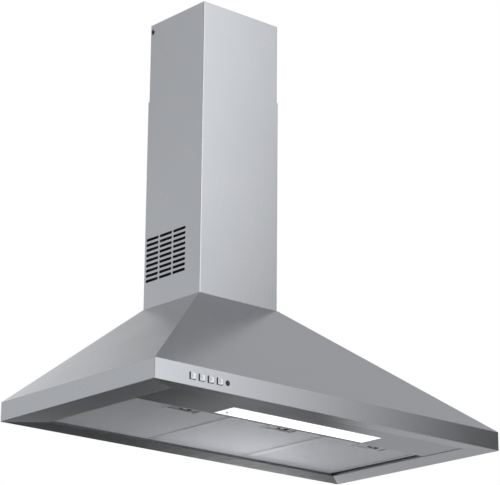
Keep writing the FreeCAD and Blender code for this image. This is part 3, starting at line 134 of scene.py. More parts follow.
# %% The grey room that steel mirrors
LEFT_GREY, RIGHT_GREY, CEILING_SHARE, WINDOW_LIGHT, EVEN_LIGHT = 0.56, 0.4, 0.2, 0.9, 0.8
CEILING_SIDE, WINDOW_SIDE = (-0.5, -0.5, 0.8), (-0.66, -0.75, 0.15)
world = bpy.data.worlds.new("studio_room")
scene.world = world
world.use_nodes = True
sky = world.node_tree
sky.nodes.clear()
direction = add_node(sky, "ShaderNodeTexCoord").outputs["Generated"]


def fade(axis, near, far, values):
    """A value that changes smoothly as the mirrored direction turns towards axis.

    near and far are the cosines of the angles between the two at which the change starts and ends.
    """
    towards = add_node(sky, "ShaderNodeVectorMath", operation="DOT_PRODUCT")
    towards.inputs[1].default_value = Vector(axis).normalized()
    sky.links.new(direction, towards.inputs[0])
    return reach(sky, towards.outputs["Value"], (near, far), values, interpolation_type="SMOOTHSTEP")


walls = fade((1, 0, 0), -0.6, 0.65, (LEFT_GREY, RIGHT_GREY))
ceiling = fade(CEILING_SIDE, 0.32, 0.5, (1.15, CEILING_SHARE))
window = fade(WINDOW_SIDE, 0.86, 0.96, (0, WINDOW_LIGHT))
room_light = maths(sky, "ADD", maths(sky, "MULTIPLY", walls, ceiling), window)
print("room grey:", LEFT_GREY, "to", RIGHT_GREY)

# %% What each kind of ray sees
room = add_node(sky, "ShaderNodeBackground", Color=(0.97, 0.985, 1, 1))
even = add_node(sky, "ShaderNodeBackground", Color=(0.8, 0.8, 0.8, 1), Strength=EVEN_LIGHT)
white = add_node(sky, "ShaderNodeBackground", Color=(1, 1, 1, 1))
sky.links.new(room_light, room.inputs["Strength"])
ray = add_node(sky, "ShaderNodeLightPath")
bare = maths(sky, "MAXIMUM", ray.outputs["Is Camera Ray"], ray.outputs["Is Transmission Ray"])
mirrored, seen = (add_node(sky, "ShaderNodeMixShader") for _ in range(2))
sky.links.new(ray.outputs["Is Glossy Ray"], mirrored.inputs["Fac"])
sky.links.new(even.outputs["Background"], mirrored.inputs[1])
sky.links.new(room.outputs["Background"], mirrored.inputs[2])
sky.links.new(bare, seen.inputs["Fac"])
sky.links.new(mirrored.outputs["Shader"], seen.inputs[1])
sky.links.new(white.outputs["Background"], seen.inputs[2])
sky.links.new(seen.outputs["Shader"], add_node(sky, "ShaderNodeOutputWorld").inputs["Surface"])
print("room nodes:", len(sky.nodes))

# %% [markdown]
# Forms are built as a bmesh and then turned into objects. The cards, the wall and the floor are all plain
# sheets, so one helper makes an upright sheet and another puts any form into the scene.


# %% Helpers for forms
def as_object(name, form):
    """Puts a finished form into the scene as an object at the origin."""
    mesh = bpy.data.meshes.new(name)
    form.to_mesh(mesh)
    form.free()
    thing = bpy.data.objects.new(name, mesh)
    scene.collection.objects.link(thing)
    return thing


def upright_sheet(across, depth, levels, steps=1):
    """A sheet that faces the room at the given depth, between two places across and two levels."""
    form = bmesh.new()
    bmesh.ops.create_grid(form, x_segments=steps, y_segments=steps, size=0.5)
    bmesh.ops.scale(form, vec=(across[1] - across[0], levels[1] - levels[0], 1), verts=form.verts)
    bmesh.ops.rotate(form, verts=form.verts, matrix=Matrix.Rotation(math.pi / 2, 3, "X"))
    bmesh.ops.translate(form, verts=form.verts, vec=(sum(across) / 2, depth, sum(levels) / 2))
    return form


# %% [markdown]
# A photographer puts large soft cards round a steel hood and lets their light fall off along them. Each
# card here is a grid of glowing faces, whose brightness is worked out at every corner and kept as a colour
# attribute. The cards are seen only in mirrored light, so they leave the plain surfaces alone.


# %% Glowing cards
def ramp(value, low, high):
    """0 below low, 1 above high and smooth between them."""
    share = min(max((value - low) / (high - low), 0), 1)
    return share * share * (3 - 2 * share)


def glowing_card(name, depth, across, levels, glow, steps=48):
    """An upright card whose brightness at each corner is glow of its place across and its level."""
    form = upright_sheet(across, depth, levels, steps)
    light = form.verts.layers.float_color.new("glow")
    brightest = 0
    for corner in form.verts:
        value = glow(corner.co.x, corner.co.z)
        corner[light] = (value * 0.98, value * 0.99, value, 1)
        brightest = max(brightest, value)
    card = as_object(name, form)
    card.visible_camera = card.visible_diffuse = card.visible_shadow = card.visible_transmission = False
    paint = bpy.data.materials.new(name)
    paint.use_nodes = True
    tree = paint.node_tree
    tree.nodes.clear()
    value = add_node(tree, "ShaderNodeAttribute", attribute_name="glow")
    shine = add_node(tree, "ShaderNodeEmission")
    tree.links.new(value.outputs["Color"], shine.inputs["Color"])
    surface = add_node(tree, "ShaderNodeOutputMaterial")
    tree.links.new(shine.outputs["Emission"], surface.inputs["Surface"])
    card.data.materials.append(paint)
    print(name, "brightest:", round(brightest, 2))


# %% [markdown]
# The front card lights the front of the rim and of the chimney. The other two stand behind the hood: the
# slope card is mirrored in the left slope, and the low card in the flat strips of the underside. Where a face
# of the hood was too dark or too bright, the card that it mirrors was changed at that place, so each glow is
# a plain fall-off with a few bright or dark patches.


# %% The three cards
def front_glow(x, z):
    """Falls off to the right: slowly low down, for the rim, and faster high up, for the chimney."""
    left_end = 0.7 * ramp(-z, 0.2, 0.7) * ramp(-x, -1.9, -1.5)
    rim = 1.06 - 0.7 * (x - 1.14) + left_end
    chimney = 1.06 - 1.05 * (x - 1.89) + 0.2 * ramp(z, 1.4, 2.2)
    glow = rim + ramp(z, 0.95, 1.2) * (chimney - rim)
    return min(max(glow, 0.02), 0.8 + 0.6 * ramp(x, 0.2, 0.9))


def slope_glow(x, z):
    """Bright low down and darker with height, for the left slope."""
    return min(max(0.82 - 0.97 * (z - 0.43), 0.1), 1.0)


def low_glow(x, z):
    """A dark corner of the room at the left, a grey wall at the right and a soft glow between them."""
    wall = 0.05 + 0.39 * ramp(x, 0.88, 1.12)
    left_end = 0.3 * ramp(-x, -1.0, -0.8)
    glow = 2.2 * math.exp(-(((x - 0.71) / 0.24) ** 2))
    return wall + (left_end + glow) * ramp(z, -0.22, -0.14)


glowing_card("front_card", -2.5, (-0.8, 7), (-1.2, 3.4), front_glow)
glowing_card("slope_card", 0.55, (-0.4, 0.8), (0.25, 1.3), slope_glow, 16)
glowing_card("low_card", 0.55, (-0.6, 2.4), (-1.2, -0.01), low_glow, 64)

# %% [markdown]
# The hood's own lamps light the hob below it, and some of that light comes back up to the filters. A small
# soft lamp under the hood does this. It isn't mirrored in the steel, so it only brightens the filters.

# %% Light from the hob
HOB_AT, HOB_SIZE, HOB_POWER = (0.07, -0.06, -0.3), 0.2, 1.25
hob_light = bpy.data.objects.new("hob_light", bpy.data.lights.new("hob_light", "AREA"))
scene.collection.objects.link(hob_light)
hob_light.data.shape = "DISK"
hob_light.data.size = HOB_SIZE
hob_light.data.energy = HOB_POWER
hob_light.location = HOB_AT
hob_light.rotation_euler = (math.pi, 0, 0)
hob_light.visible_camera = hob_light.visible_glossy = hob_light.visible_transmission = False
print("hob light:", hob_light.data.energy, "W")

# %% [markdown]
# Two sheets stand for what is round the hood. The chimney is open at the back, where the wall closes it, so
# its vents look into the dark: a dark card just inside the cover's back edges, seen only by the camera,
# paints that shade. The floor is a plain pale plane below the camera, which keeps the hood's shadow and is
# mirrored in the underside. A hood is also looked at from behind and from below, so both sheets are clear
# from their far side.


# %% A paint for one side
def one_sided(name, colour, roughness):
    """A paint that shows on the front of a face and is clear from behind."""
    paint = bpy.data.materials.new(name)
    paint.use_nodes = True
    tree = paint.node_tree
    shade = tree.nodes["Principled BSDF"]
    shade.inputs["Base Color"].default_value = (*colour, 1)
    shade.inputs["Roughness"].default_value = roughness
    side, clear, either = (
        add_node(tree, kind)
        for kind in ("ShaderNodeNewGeometry", "ShaderNodeBsdfTransparent", "ShaderNodeMixShader")
    )
    tree.links.new(side.outputs["Backfacing"], either.inputs["Fac"])
    tree.links.new(shade.outputs["BSDF"], either.inputs[1])
    tree.links.new(clear.outputs["BSDF"], either.inputs[2])
    tree.links.new(either.outputs["Shader"], tree.nodes["Material Output"].inputs["Surface"])
    return paint


# %% The painted shade behind the vents, and the floor
CARD_INSET, FLOOR_LEVEL, FLOOR_HALF = 2 * MM, -1.25, 12
low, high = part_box("lower_chimney")
# A dark card that only the camera sees: painted shade behind the vents.
form = upright_sheet((low.x + CARD_INSET, high.x - CARD_INSET), -CARD_INSET, (low.z, high.z))
vent_shade_card = as_object("vent_shade_card", form)
vent_shade_card.visible_diffuse = vent_shade_card.visible_glossy = vent_shade_card.visible_shadow = False
vent_shade_card.data.materials.append(one_sided("vent_shade_card", (0.03, 0.03, 0.033), 0.9))
form = bmesh.new()
bmesh.ops.create_grid(form, x_segments=1, y_segments=1, size=FLOOR_HALF)
bmesh.ops.translate(form, verts=form.verts, vec=(0, 0, FLOOR_LEVEL))
floor = as_object("floor", form)
floor.data.materials.append(one_sided("floor_paint", (0.66, 0.67, 0.68), 0.6))
print("wall card faces the room:", vent_shade_card.data.polygons[0].normal.y < 0)
print("floor faces up:", floor.data.polygons[0].normal.z > 0)

# %% [markdown]
# Each finish starts from a Principled shader. Effects that several finishes share are node groups: the
# grain of brushed steel, the crystals of zinc and the skin of moulded plastic. A group gives only values
# that change over the surface: a colour, a roughness, and a height that a Bump node turns into relief.


# %% Helpers for the finishes
def new_finish(name, colour, metallic, roughness):
    finish = bpy.data.materials.new(name)
    finish.use_nodes = True
    shader = finish.node_tree.nodes["Principled BSDF"]
    shader.inputs["Base Color"].default_value = (*colour, 1)
    shader.inputs["Metallic"].default_value = metallic
    shader.inputs["Roughness"].default_value = roughness
    return finish, finish.node_tree, shader


def new_group(name, inputs, outputs):
    group = bpy.data.node_groups.new(name, "ShaderNodeTree")
    for label, kind, value in inputs:
        socket = group.interface.new_socket(label, in_out="INPUT", socket_type=kind)
        if value is not None:
            socket.default_value = value
    for label, kind in outputs:
        group.interface.new_socket(label, in_out="OUTPUT", socket_type=kind)
    return group, group.nodes.new("NodeGroupInput"), group.nodes.new("NodeGroupOutput")


def apply_pattern(tree, shader, pattern, strength, distance):
    """Leads the colour, roughness and height that a pattern has to the shader."""
    for label, socket in (("Color", "Base Color"), ("Roughness", "Roughness")):
        if label in pattern.outputs:
            tree.links.new(pattern.outputs[label], shader.inputs[socket])
    relief = add_node(tree, "ShaderNodeBump", Strength=strength, Distance=distance)
    tree.links.new(pattern.outputs["Height"], relief.inputs["Height"])
    tree.links.new(relief.outputs["Normal"], shader.inputs["Normal"])


# %% [markdown]
# Brushed steel carries fine scratches, all one way. A noise texture that is stretched nearly two hundred
# times along the sheet gives them, lighter and darker, smoother and rougher, with a little relief. Broad
# smudges of roughness, where hands have wiped the sheet, keep it from looking like a perfect mirror.

# %% The grain of brushed steel
VECTOR, COLOUR, NUMBER = "NodeSocketVector", "NodeSocketColor", "NodeSocketFloat"
grain, given, made = new_group(
    "brushed_grain",
    [
        ("Vector", VECTOR, None),
        ("Place", VECTOR, None),
        ("Color", COLOUR, (0.6, 0.6, 0.6, 1)),
        ("Streak", NUMBER, 0.08),
        ("Roughness", NUMBER, 0.3),
    ],
    [("Color", COLOUR), ("Roughness", NUMBER), ("Height", NUMBER)],
)
streaks = add_node(grain, "ShaderNodeTexNoise", Scale=1.0, Detail=3.0, Roughness=0.6)
smudges = add_node(grain, "ShaderNodeTexNoise", Scale=5.0, Detail=2.0)
grain.links.new(given.outputs["Vector"], streaks.inputs["Vector"])
grain.links.new(given.outputs["Place"], smudges.inputs["Vector"])
centred = maths(grain, "SUBTRACT", streaks.outputs["Fac"], 0.5)
strong = maths(grain, "MULTIPLY", centred, given.outputs["Streak"])
lighter = maths(grain, "ADD", strong, 1)
smudged = reach(grain, smudges.outputs["Fac"], (0, 1), (-0.04, 0.04))
rough = maths(grain, "ADD", given.outputs["Roughness"], smudged)
grain.links.new(scaled(grain, given.outputs["Color"], lighter), made.inputs["Color"])
grain.links.new(maths(grain, "ADD", rough, strong), made.inputs["Roughness"])
grain.links.new(streaks.outputs["Fac"], made.inputs["Height"])
print("grain nodes:", len(grain.nodes))

# %% [markdown]
# Every brushed finish has its own colour, gloss and direction of grain. The chimney covers have one thing
# more: a painted highlight, a narrow band of nearly white colour along their two front folds, which draws a
# bright line down each.
# The distance from the cover's corner in Object coordinates gives that band.

# %% Brushed finishes
ALONG_X, ALONG_Y, ALONG_Z = (6, 1100, 1100), (1100, 6, 1100), (1100, 1100, 6)
ALL_WAYS, STACKED = (400, 400, 400), (900, 6, 6)
STEEL, ALUMINIUM = (0.60, 0.61, 0.635), (0.78, 0.79, 0.82)
FOLD, FOLD_HIGHLIGHT_COLOUR = 2 * MM, (0.97, 0.98, 1, 1)


def brushed(name, colour, roughness, stretch, streak=0.06, metallic=1.0, depth=0.012):
    """Brushed metal. stretch is the grain's density along each axis, per metre."""
    finish, tree, shader = new_finish(name, colour, metallic, roughness)
    place = add_node(tree, "ShaderNodeTexCoord")
    along = add_node(tree, "ShaderNodeMapping", Scale=stretch)
    pattern = add_node(
        tree, "ShaderNodeGroup", node_tree=grain, Color=(*colour, 1), Streak=streak, Roughness=roughness,
    )
    tree.links.new(place.outputs["Object"], along.inputs["Vector"])
    tree.links.new(along.outputs["Vector"], pattern.inputs["Vector"])
    tree.links.new(place.outputs["Object"], pattern.inputs["Place"])
    apply_pattern(tree, shader, pattern, depth, 0.2 * MM)
    return finish


def folded(name, colour, node):
    """Upright brushed steel with a painted highlight: a band of nearly white colour along the two folds of a
    cover.
    """
    finish = brushed(name, colour, 0.28, ALONG_Z, streak=0.025, depth=0.004)
    tree, shader = finish.node_tree, finish.node_tree.nodes["Principled BSDF"]
    low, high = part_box(node)
    parts = add_node(tree, "ShaderNodeSeparateXYZ")
    tree.links.new(add_node(tree, "ShaderNodeTexCoord").outputs["Object"], parts.inputs["Vector"])
    aside = maths(tree, "ABSOLUTE", parts.outputs["X"])
    at_side = reach(tree, aside, (high.x - FOLD, high.x - 0.8 * FOLD), (0, 1))
    at_front = reach(tree, parts.outputs["Y"], (low.y + FOLD, low.y + 0.8 * FOLD), (0, 1))
    # A Mix node has inputs of the same name for each kind of value. These are the ones for colours.
    mix = add_node(tree, "ShaderNodeMix", data_type="RGBA")
    share, grained, fold_highlight, mixed = mix.inputs[0], mix.inputs[6], mix.inputs[7], mix.outputs[2]
    # Painted highlight: the colour turns nearly white along each fold.
    fold_highlight.default_value = FOLD_HIGHLIGHT_COLOUR
    tree.links.new(maths(tree, "MULTIPLY", at_side, at_front), share)
    tree.links.new(shader.inputs["Base Color"].links[0].from_socket, grained)
    tree.links.new(mixed, shader.inputs["Base Color"])
    return finish


finishes = {
    "canopy_steel": brushed("canopy_steel", STEEL, 0.2, ALONG_X, streak=0.045, depth=0.006),
    "side_steel": brushed("side_steel", STEEL, 0.28, ALONG_Y, streak=0.04, depth=0.006),
    "lower_cover_steel": folded("lower_cover_steel", STEEL, "lower_chimney"),
    "upper_cover_steel": folded("upper_cover_steel", STEEL, "upper_chimney"),
    "panel_steel": brushed("panel_steel", (0.47, 0.49, 0.52), 0.2, ALONG_X),
    "filter_aluminium": brushed("filter_aluminium", (0.70, 0.71, 0.74), 0.34, ALONG_X, metallic=0.7),
    "expanded_metal": brushed("expanded_metal", (0.80, 0.81, 0.84), 0.34, ALONG_X, metallic=0.6),
    # The diffuser's screw is a darker copy of the screw steel: painted shade.
    "diffuser_screw": brushed("diffuser_screw", (0.35, 0.35, 0.36), 0.3, ALL_WAYS),
    "motor_core": brushed("motor_core", (0.30, 0.28, 0.27), 0.45, STACKED, streak=0.5),
    "bright_steel": brushed("bright_steel", (0.70, 0.70, 0.71), 0.18, ALL_WAYS),
    "screw_steel": brushed("screw_steel", (0.66, 0.66, 0.67), 0.25, ALL_WAYS),
}
print("brushed finishes:", len(finishes))

# %% [markdown]
# The back of a hood is galvanised sheet, with the pale flakes of crystallised zinc. A Voronoi texture gives
# each flake its own shade and gloss. The zinc's colour is darker on the low lip: painted shade.

# %% The crystals of zinc
ZINC, LIP, LIP_SHADE_FACTORS = (0.32, 0.335, 0.345), (2 * MM, 12 * MM), (0.5, 1)
zinc, given, made = new_group(
    "zinc_crystals",
    [("Vector", VECTOR, None), ("Color", COLOUR, (0.5, 0.5, 0.5, 1))],
    [("Color", COLOUR), ("Roughness", NUMBER)],
)
crystals = add_node(zinc, "ShaderNodeTexVoronoi", Scale=90.0)
flake = add_node(zinc, "ShaderNodeSeparateColor")
zinc.links.new(given.outputs["Vector"], crystals.inputs["Vector"])
zinc.links.new(crystals.outputs["Color"], flake.inputs["Color"])
shade = reach(zinc, flake.outputs["Red"], (0, 1), (0.9, 1.08))
gloss = reach(zinc, flake.outputs["Green"], (0, 1), (0.36, 0.44))
zinc.links.new(scaled(zinc, given.outputs["Color"], shade), made.inputs["Color"])
zinc.links.new(gloss, made.inputs["Roughness"])

galvanised, tree, shader = new_finish("galvanised_steel", ZINC, 1, 0.4)
place = add_node(tree, "ShaderNodeTexCoord")
pattern = add_node(tree, "ShaderNodeGroup", node_tree=zinc, Color=(*ZINC, 1))
parts = add_node(tree, "ShaderNodeSeparateXYZ")
tree.links.new(place.outputs["Object"], pattern.inputs["Vector"])
tree.links.new(place.outputs["Object"], parts.inputs["Vector"])
# Painted shade: the zinc's colour is darker on the low lip, between the two heights of LIP.
lip_shade = reach(tree, parts.outputs["Z"], LIP, LIP_SHADE_FACTORS)
tree.links.new(scaled(tree, pattern.outputs["Color"], lip_shade), shader.inputs["Base Color"])
tree.links.new(pattern.outputs["Roughness"], shader.inputs["Roughness"])
finishes["galvanised_steel"] = galvanised
print("zinc nodes:", len(zinc.nodes))

# %% [markdown]
# Moulded plastic, paint and rubber are never quite smooth or even. Fine noise gives the pores that a mould
# leaves, and coarse noise a shade that drifts a little over the piece. The lamp bulbs are frosted on the
# inside, so their glass takes only its roughness from the same group and keeps a plain colour.

# %% The skin of moulded plastic and paint
skin, given, made = new_group(
    "moulded_skin",
    [("Vector", VECTOR, None), ("Color", COLOUR, (0.5, 0.5, 0.5, 1)), ("Roughness", NUMBER, 0.4)],
    [("Color", COLOUR), ("Roughness", NUMBER), ("Height", NUMBER)],
)
pores = add_node(skin, "ShaderNodeTexNoise", Scale=1400.0, Detail=2.0)
patches = add_node(skin, "ShaderNodeTexNoise", Scale=30.0, Detail=2.0)
for texture in (pores, patches):
    skin.links.new(given.outputs["Vector"], texture.inputs["Vector"])
uneven = reach(skin, patches.outputs["Fac"], (0, 1), (0.94, 1.06))
skin.links.new(scaled(skin, given.outputs["Color"], uneven), made.inputs["Color"])
skin.links.new(maths(skin, "MULTIPLY", given.outputs["Roughness"], uneven), made.inputs["Roughness"])
skin.links.new(pores.outputs["Fac"], made.inputs["Height"])
print("skin nodes:", len(skin.nodes))

# %% Moulded finishes and the lamp glass
def moulded(name, colour, roughness, metallic=0.0):
    finish, tree, shader = new_finish(name, colour, metallic, roughness)
    place = add_node(tree, "ShaderNodeTexCoord")
    pattern = add_node(
        tree, "ShaderNodeGroup", node_tree=skin, Color=(*colour, 1), Roughness=roughness,
    )
    tree.links.new(place.outputs["Object"], pattern.inputs["Vector"])
    apply_pattern(tree, shader, pattern, 0.05, 0.1 * MM)
    return finish


for name, colour, *gloss in (
    ("diffuser_plastic", (0.90, 0.91, 0.92), 0.4),
    ("reflector_paint", (0.85, 0.85, 0.83), 0.3),
    ("lamp_ceramic", (0.78, 0.75, 0.68), 0.25),
    ("switch_plastic", (0.04, 0.04, 0.042), 0.5),
    ("indicator_plastic", (0.03, 0.03, 0.035), 0.15),
    ("motor_metal", (0.25, 0.26, 0.28), 0.4),
    ("grommet_rubber", (0.03, 0.03, 0.03), 0.7),
    ("impeller_plastic", (0.06, 0.06, 0.065), 0.5),
    ("collar_plastic", (0.05, 0.05, 0.055), 0.45),
    ("box_plastic", (0.70, 0.70, 0.68), 0.45),
    ("capacitor_plastic", (0.80, 0.80, 0.78), 0.35),
    ("black_screw", (0.04, 0.04, 0.04), 0.4),
    ("button_plastic", (0.75, 0.76, 0.78), 0.2, 1.0),
    # A darker copy of the buttons' finish, for their sides: painted shade.
    ("button_side_shade", (0.16, 0.16, 0.17), 0.35, 1.0),
    ("handle_plastic", (0.58, 0.59, 0.61), 0.25, 0.9),
    ("latch_plastic", (0.90, 0.91, 0.93), 0.3, 0.1),
):
    finishes[name] = moulded(name, colour, *gloss)
opal = finishes["diffuser_plastic"].node_tree.nodes["Principled BSDF"]
opal.inputs["Emission Color"].default_value = (1, 1, 1, 1)
opal.inputs["Emission Strength"].default_value = 0.6

GLASS_ROUGHNESS = 0.35
glass, tree, shader = new_finish("lamp_glass", (0.95, 0.95, 0.93), 0, GLASS_ROUGHNESS)
shader.inputs["Transmission Weight"].default_value = 0.8
frost = add_node(tree, "ShaderNodeGroup", node_tree=skin, Roughness=GLASS_ROUGHNESS)
tree.links.new(add_node(tree, "ShaderNodeTexCoord").outputs["Object"], frost.inputs["Vector"])
tree.links.new(frost.outputs["Roughness"], shader.inputs["Roughness"])
finishes["lamp_glass"] = glass
print("finishes:", len(finishes))

# %% [markdown]
# Behind the expanded metal of a filter lie pressed layers of much finer mesh. Thousands of real threads
# would show as a haze at this distance, so a stretched Voronoi texture draws them instead: its distance to
# the nearest cell edge gives thin raised threads, with painted shade in the darker gaps between them.

# %% The inner layers of a grease filter
THREAD, GAP_SHADE, CELLS = (0.04, 0.22), 0.7, (260, 420, 260)
layers, given, made = new_group(
    "pressed_layers",
    [("Vector", VECTOR, None), ("Color", COLOUR, (0.7, 0.7, 0.7, 1))],
    [("Color", COLOUR), ("Height", NUMBER)],
)
threads = add_node(layers, "ShaderNodeTexVoronoi", feature="DISTANCE_TO_EDGE", Scale=1.0)
layers.links.new(given.outputs["Vector"], threads.inputs["Vector"])
# Painted shade: the gaps between the threads are darker.
shade = reach(layers, threads.outputs["Distance"], THREAD, (1, GAP_SHADE))
layers.links.new(scaled(layers, given.outputs["Color"], shade), made.inputs["Color"])
layers.links.new(reach(layers, threads.outputs["Distance"], THREAD, (1, 0)), made.inputs["Height"])

pressed, tree, shader = new_finish("filter_layers", ALUMINIUM, 0.45, 0.4)
place = add_node(tree, "ShaderNodeTexCoord")
along = add_node(tree, "ShaderNodeMapping", Scale=CELLS)
pattern = add_node(tree, "ShaderNodeGroup", node_tree=layers, Color=(*ALUMINIUM, 1))
tree.links.new(place.outputs["Object"], along.inputs["Vector"])
tree.links.new(along.outputs["Vector"], pattern.inputs["Vector"])
apply_pattern(tree, shader, pattern, 0.4, 0.6 * MM)
finishes["filter_layers"] = pressed
print("layer nodes:", len(layers.nodes))

# %% [markdown]
# Every solid takes the finish of its slot in the record. Steel is brushed before it is folded, so the grain
# of each sheet runs along its own bends: level on the canopy's sides and upright on the chimney covers.

# %% Dressing the solids
own_finish = {
    "diffuser_screw": "diffuser_screw",
    "canopy_left": "side_steel",
    "canopy_right": "side_steel",
    "lower_chimney": "lower_cover_steel",
    "upper_chimney": "upper_cover_steel",
}
slots = {part["node"]: part["material_slot"] for part in frame["record"]["subparts"]}
for node, slot in slots.items():
    # The slot of the grease mesh has no finish of its own, because finer pieces replace its solids.
    finish = finishes.get(own_finish.get(node, slot), finishes["filter_aluminium"])
    mesh = frame["nodes"][node].data
    mesh.materials.clear()
    mesh.materials.append(finish)
members = frame["record"]["behaviour"]["bodies"]
bodies = {node: body for body in members for node in members[body]}

# %% [markdown]
# New pieces all end the same way: the form becomes an object at the origin, takes its finishes, rides on the
# body of the node that it stands for, and hides that node. One helper does this for every piece. Another
# evens out the shading: a rounded edge shares its corners with the flat faces beside it, and plain smooth
# shading would bend the light far into them, so weighted normals let the flat faces lead.

# %% Finishing a piece
CREASE = math.radians(35)


def add_piece(name, form, node, *materials):
    bmesh.ops.recalc_face_normals(form, faces=form.faces)
    piece = as_object(name, form)
    piece.data.polygons.foreach_set("use_smooth", [True] * len(piece.data.polygons))
    piece.data.set_sharp_from_angle(angle=CREASE)
    for material in materials:
        piece.data.materials.append(finishes[material])
    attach(piece, bodies[node])
    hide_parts(node)
    return piece


def even_shading(piece):
    """Lets the flat faces lead the shading, so that a rounded edge doesn't bend it far into them."""
    piece.modifiers.new("even_shading", "WEIGHTED_NORMAL").keep_sharp = True
    return piece


print("edges sharper than", round(math.degrees(CREASE)), "degrees stay creased")

# %% [markdown]
# The filters and the finger plates are square-cut, so their CAD solids already say where every step lies.
# A flat grid whose lines are moved to those places gives the plate, and an extrusion gives it its thickness.


# %% Plates cut from a grid
def lines(node, axis):
    """The places along an axis where a square-cut node has corners, from low to high."""
    return sorted({round(vert.co[axis], 5) for vert in frame["nodes"][node].data.vertices})


def grid_plate(across, back, level):
    """A flat grid with its lines at the given places."""
    form = bmesh.new()
    columns, rows = len(across) - 1, len(back) - 1
    bmesh.ops.create_grid(form, x_segments=columns, y_segments=rows, size=1)
    for vert in form.verts:
        column = round((vert.co.x + 1) * columns / 2)
        row = round((vert.co.y + 1) * rows / 2)
        vert.co = (across[column], back[row], level)
    return form


def thicken(form, rise):
    """Extrudes a flat form straight up, or down where rise is negative."""
    grown = bmesh.ops.extrude_face_region(form, geom=form.faces[:])
    moved = [item for item in grown["geom"] if isinstance(item, bmesh.types.BMVert)]
    bmesh.ops.translate(form, vec=(0, 0, rise), verts=moved)


print("filter 1 has its steps at", lines("filter_mesh_1", 0), "and", lines("filter_mesh_1", 1))

# %% [markdown]
# The grease mesh of a filter is expanded metal: slit sheet that is pulled until the slits open into
# diamonds. A texture could show it, but real strands catch the light as the filter swings. A grid turned
# by 45 degrees and stretched already is a field of diamonds. An inset in every face leaves a strand between
# neighbours, deleting the middles opens the holes, and thickness comes last, so each hole gets its walls.
# Behind it lie the finer layers that hold the grease, as one plate with a pattern of threads.

# %% The expanded metal of the filters
DIAMOND, STRAND, METAL = (7 * MM, 3.5 * MM), 0.45 * MM, 0.8 * MM
LAYER_GAP, HIDDEN = 1 * MM, 3 * MM


def expanded_metal(name, node):
    """Strands over the whole filter, apart from the place of the finger plate."""
    across, back = lines(node, 0), lines(node, 1)
    low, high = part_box(node)
    form = bmesh.new()
    count = math.ceil((high.x - low.x) / DIAMOND[0] + (high.y - low.y) / DIAMOND[1])
    bmesh.ops.create_grid(form, x_segments=count, y_segments=count, size=count / 2)
    bmesh.ops.rotate(form, verts=form.verts, matrix=Matrix.Rotation(math.pi / 4, 3, "Z"))
    stretch = [side / math.sqrt(2) for side in DIAMOND]
    bmesh.ops.scale(form, vec=(*stretch, 1), verts=form.verts)
    bmesh.ops.translate(form, vec=((low.x + high.x) / 2, (low.y + high.y) / 2, low.z), verts=form.verts)

    def spare(spot):
        inside = low.x < spot.x < high.x and low.y < spot.y < high.y
        at_plate = across[1] + HIDDEN < spot.x < across[2] - HIDDEN and spot.y < back[1] - HIDDEN
        return at_plate or not inside

    cut = [face for face in form.faces if any(spare(vert.co) for vert in face.verts)]
    bmesh.ops.delete(form, geom=cut, context="FACES")
    middles = form.faces[:]
    bmesh.ops.inset_individual(form, faces=middles, thickness=STRAND, use_even_offset=True)
    bmesh.ops.delete(form, geom=middles, context="FACES")
    bmesh.ops.solidify(form, geom=form.faces[:], thickness=METAL)
    lowest = min(vert.co.z for vert in form.verts)
    bmesh.ops.translate(form, vec=(0, 0, low.z - lowest), verts=form.verts)
    return add_piece(name, form, node, "expanded_metal")


# %% The layers behind it
def inner_layers(name, node):
    """A plate above the strands, with a notch for the finger plate in its front edge."""
    across, back = lines(node, 0), lines(node, 1)
    low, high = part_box(node)
    form = grid_plate(across, back, low.z + METAL + LAYER_GAP)
    middle = [face for face in form.faces if across[1] < face.calc_center_median().x < across[2]]
    notch = min(middle, key=lambda face: face.calc_center_median().y)
    bmesh.ops.delete(form, geom=[notch], context="FACES")
    thicken(form, high.z - low.z - METAL - LAYER_GAP)
    return add_piece(name, form, node, "filter_layers")


for number in (1, 2, 3):
    weave = expanded_metal(f"filter_weave_{number}", f"filter_mesh_{number}")
    inner_layers(f"filter_layers_{number}", f"filter_mesh_{number}")
    print(weave.name, "triangles:", sum(len(face.vertices) - 2 for face in weave.data.polygons))

# %% [markdown]
# Pressed and moulded parts never have knife edges, and a rounded edge draws the thin bright line by which
# the eye knows it. These parts keep the CAD model's shape: a merged copy of the node gets its flat faces
# back, and one bevel rounds every edge that is sharper than a chosen angle. Only the finger tab of each
# latch is drawn a little longer, so that it shows in the window of its tray.

# %% Rounding the edges of a node
FLAT, SHARP, TAB_LOWER, EDGE = math.radians(1), math.radians(30), 1.3 * MM, 0.4 * MM


def clean_copy(node):
    form = bmesh.new()
    form.from_mesh(frame["nodes"][node].data)
    bmesh.ops.remove_doubles(form, verts=form.verts, dist=1e-6)
    bmesh.ops.dissolve_limit(
        form, angle_limit=FLAT, verts=form.verts, edges=form.edges, delimit={"NORMAL"},
    )
    return form


def bevel(form, edges, width, **settings):
    bmesh.ops.bevel(
        form, geom=edges, offset=width, offset_type="OFFSET", affect="EDGES",
        segments=2, profile=0.5, material=-1, **settings,
    )


def round_edges(form, width):
    sharp = [edge for edge in form.edges if edge.calc_face_angle(0) > SHARP]
    bevel(form, sharp, width, clamp_overlap=True)


for number in (1, 2, 3):
    channel = clean_copy(f"filter_frame_{number}")
    round_edges(channel, EDGE)
    even_shading(add_piece(f"filter_channel_{number}", channel, f"filter_frame_{number}", "filter_aluminium"))
    latch = clean_copy(f"filter_latch_{number}")
    lowest = min(vert.co.z for vert in latch.verts)
    tab_end = [vert for vert in latch.verts if vert.co.z < lowest + EDGE]
    bmesh.ops.translate(latch, vec=(0, 0, -TAB_LOWER), verts=tab_end)
    round_edges(latch, EDGE)
    even_shading(add_piece(f"latch_slide_{number}", latch, f"filter_latch_{number}", "latch_plastic"))
    print("filter", number, "edges rounded")

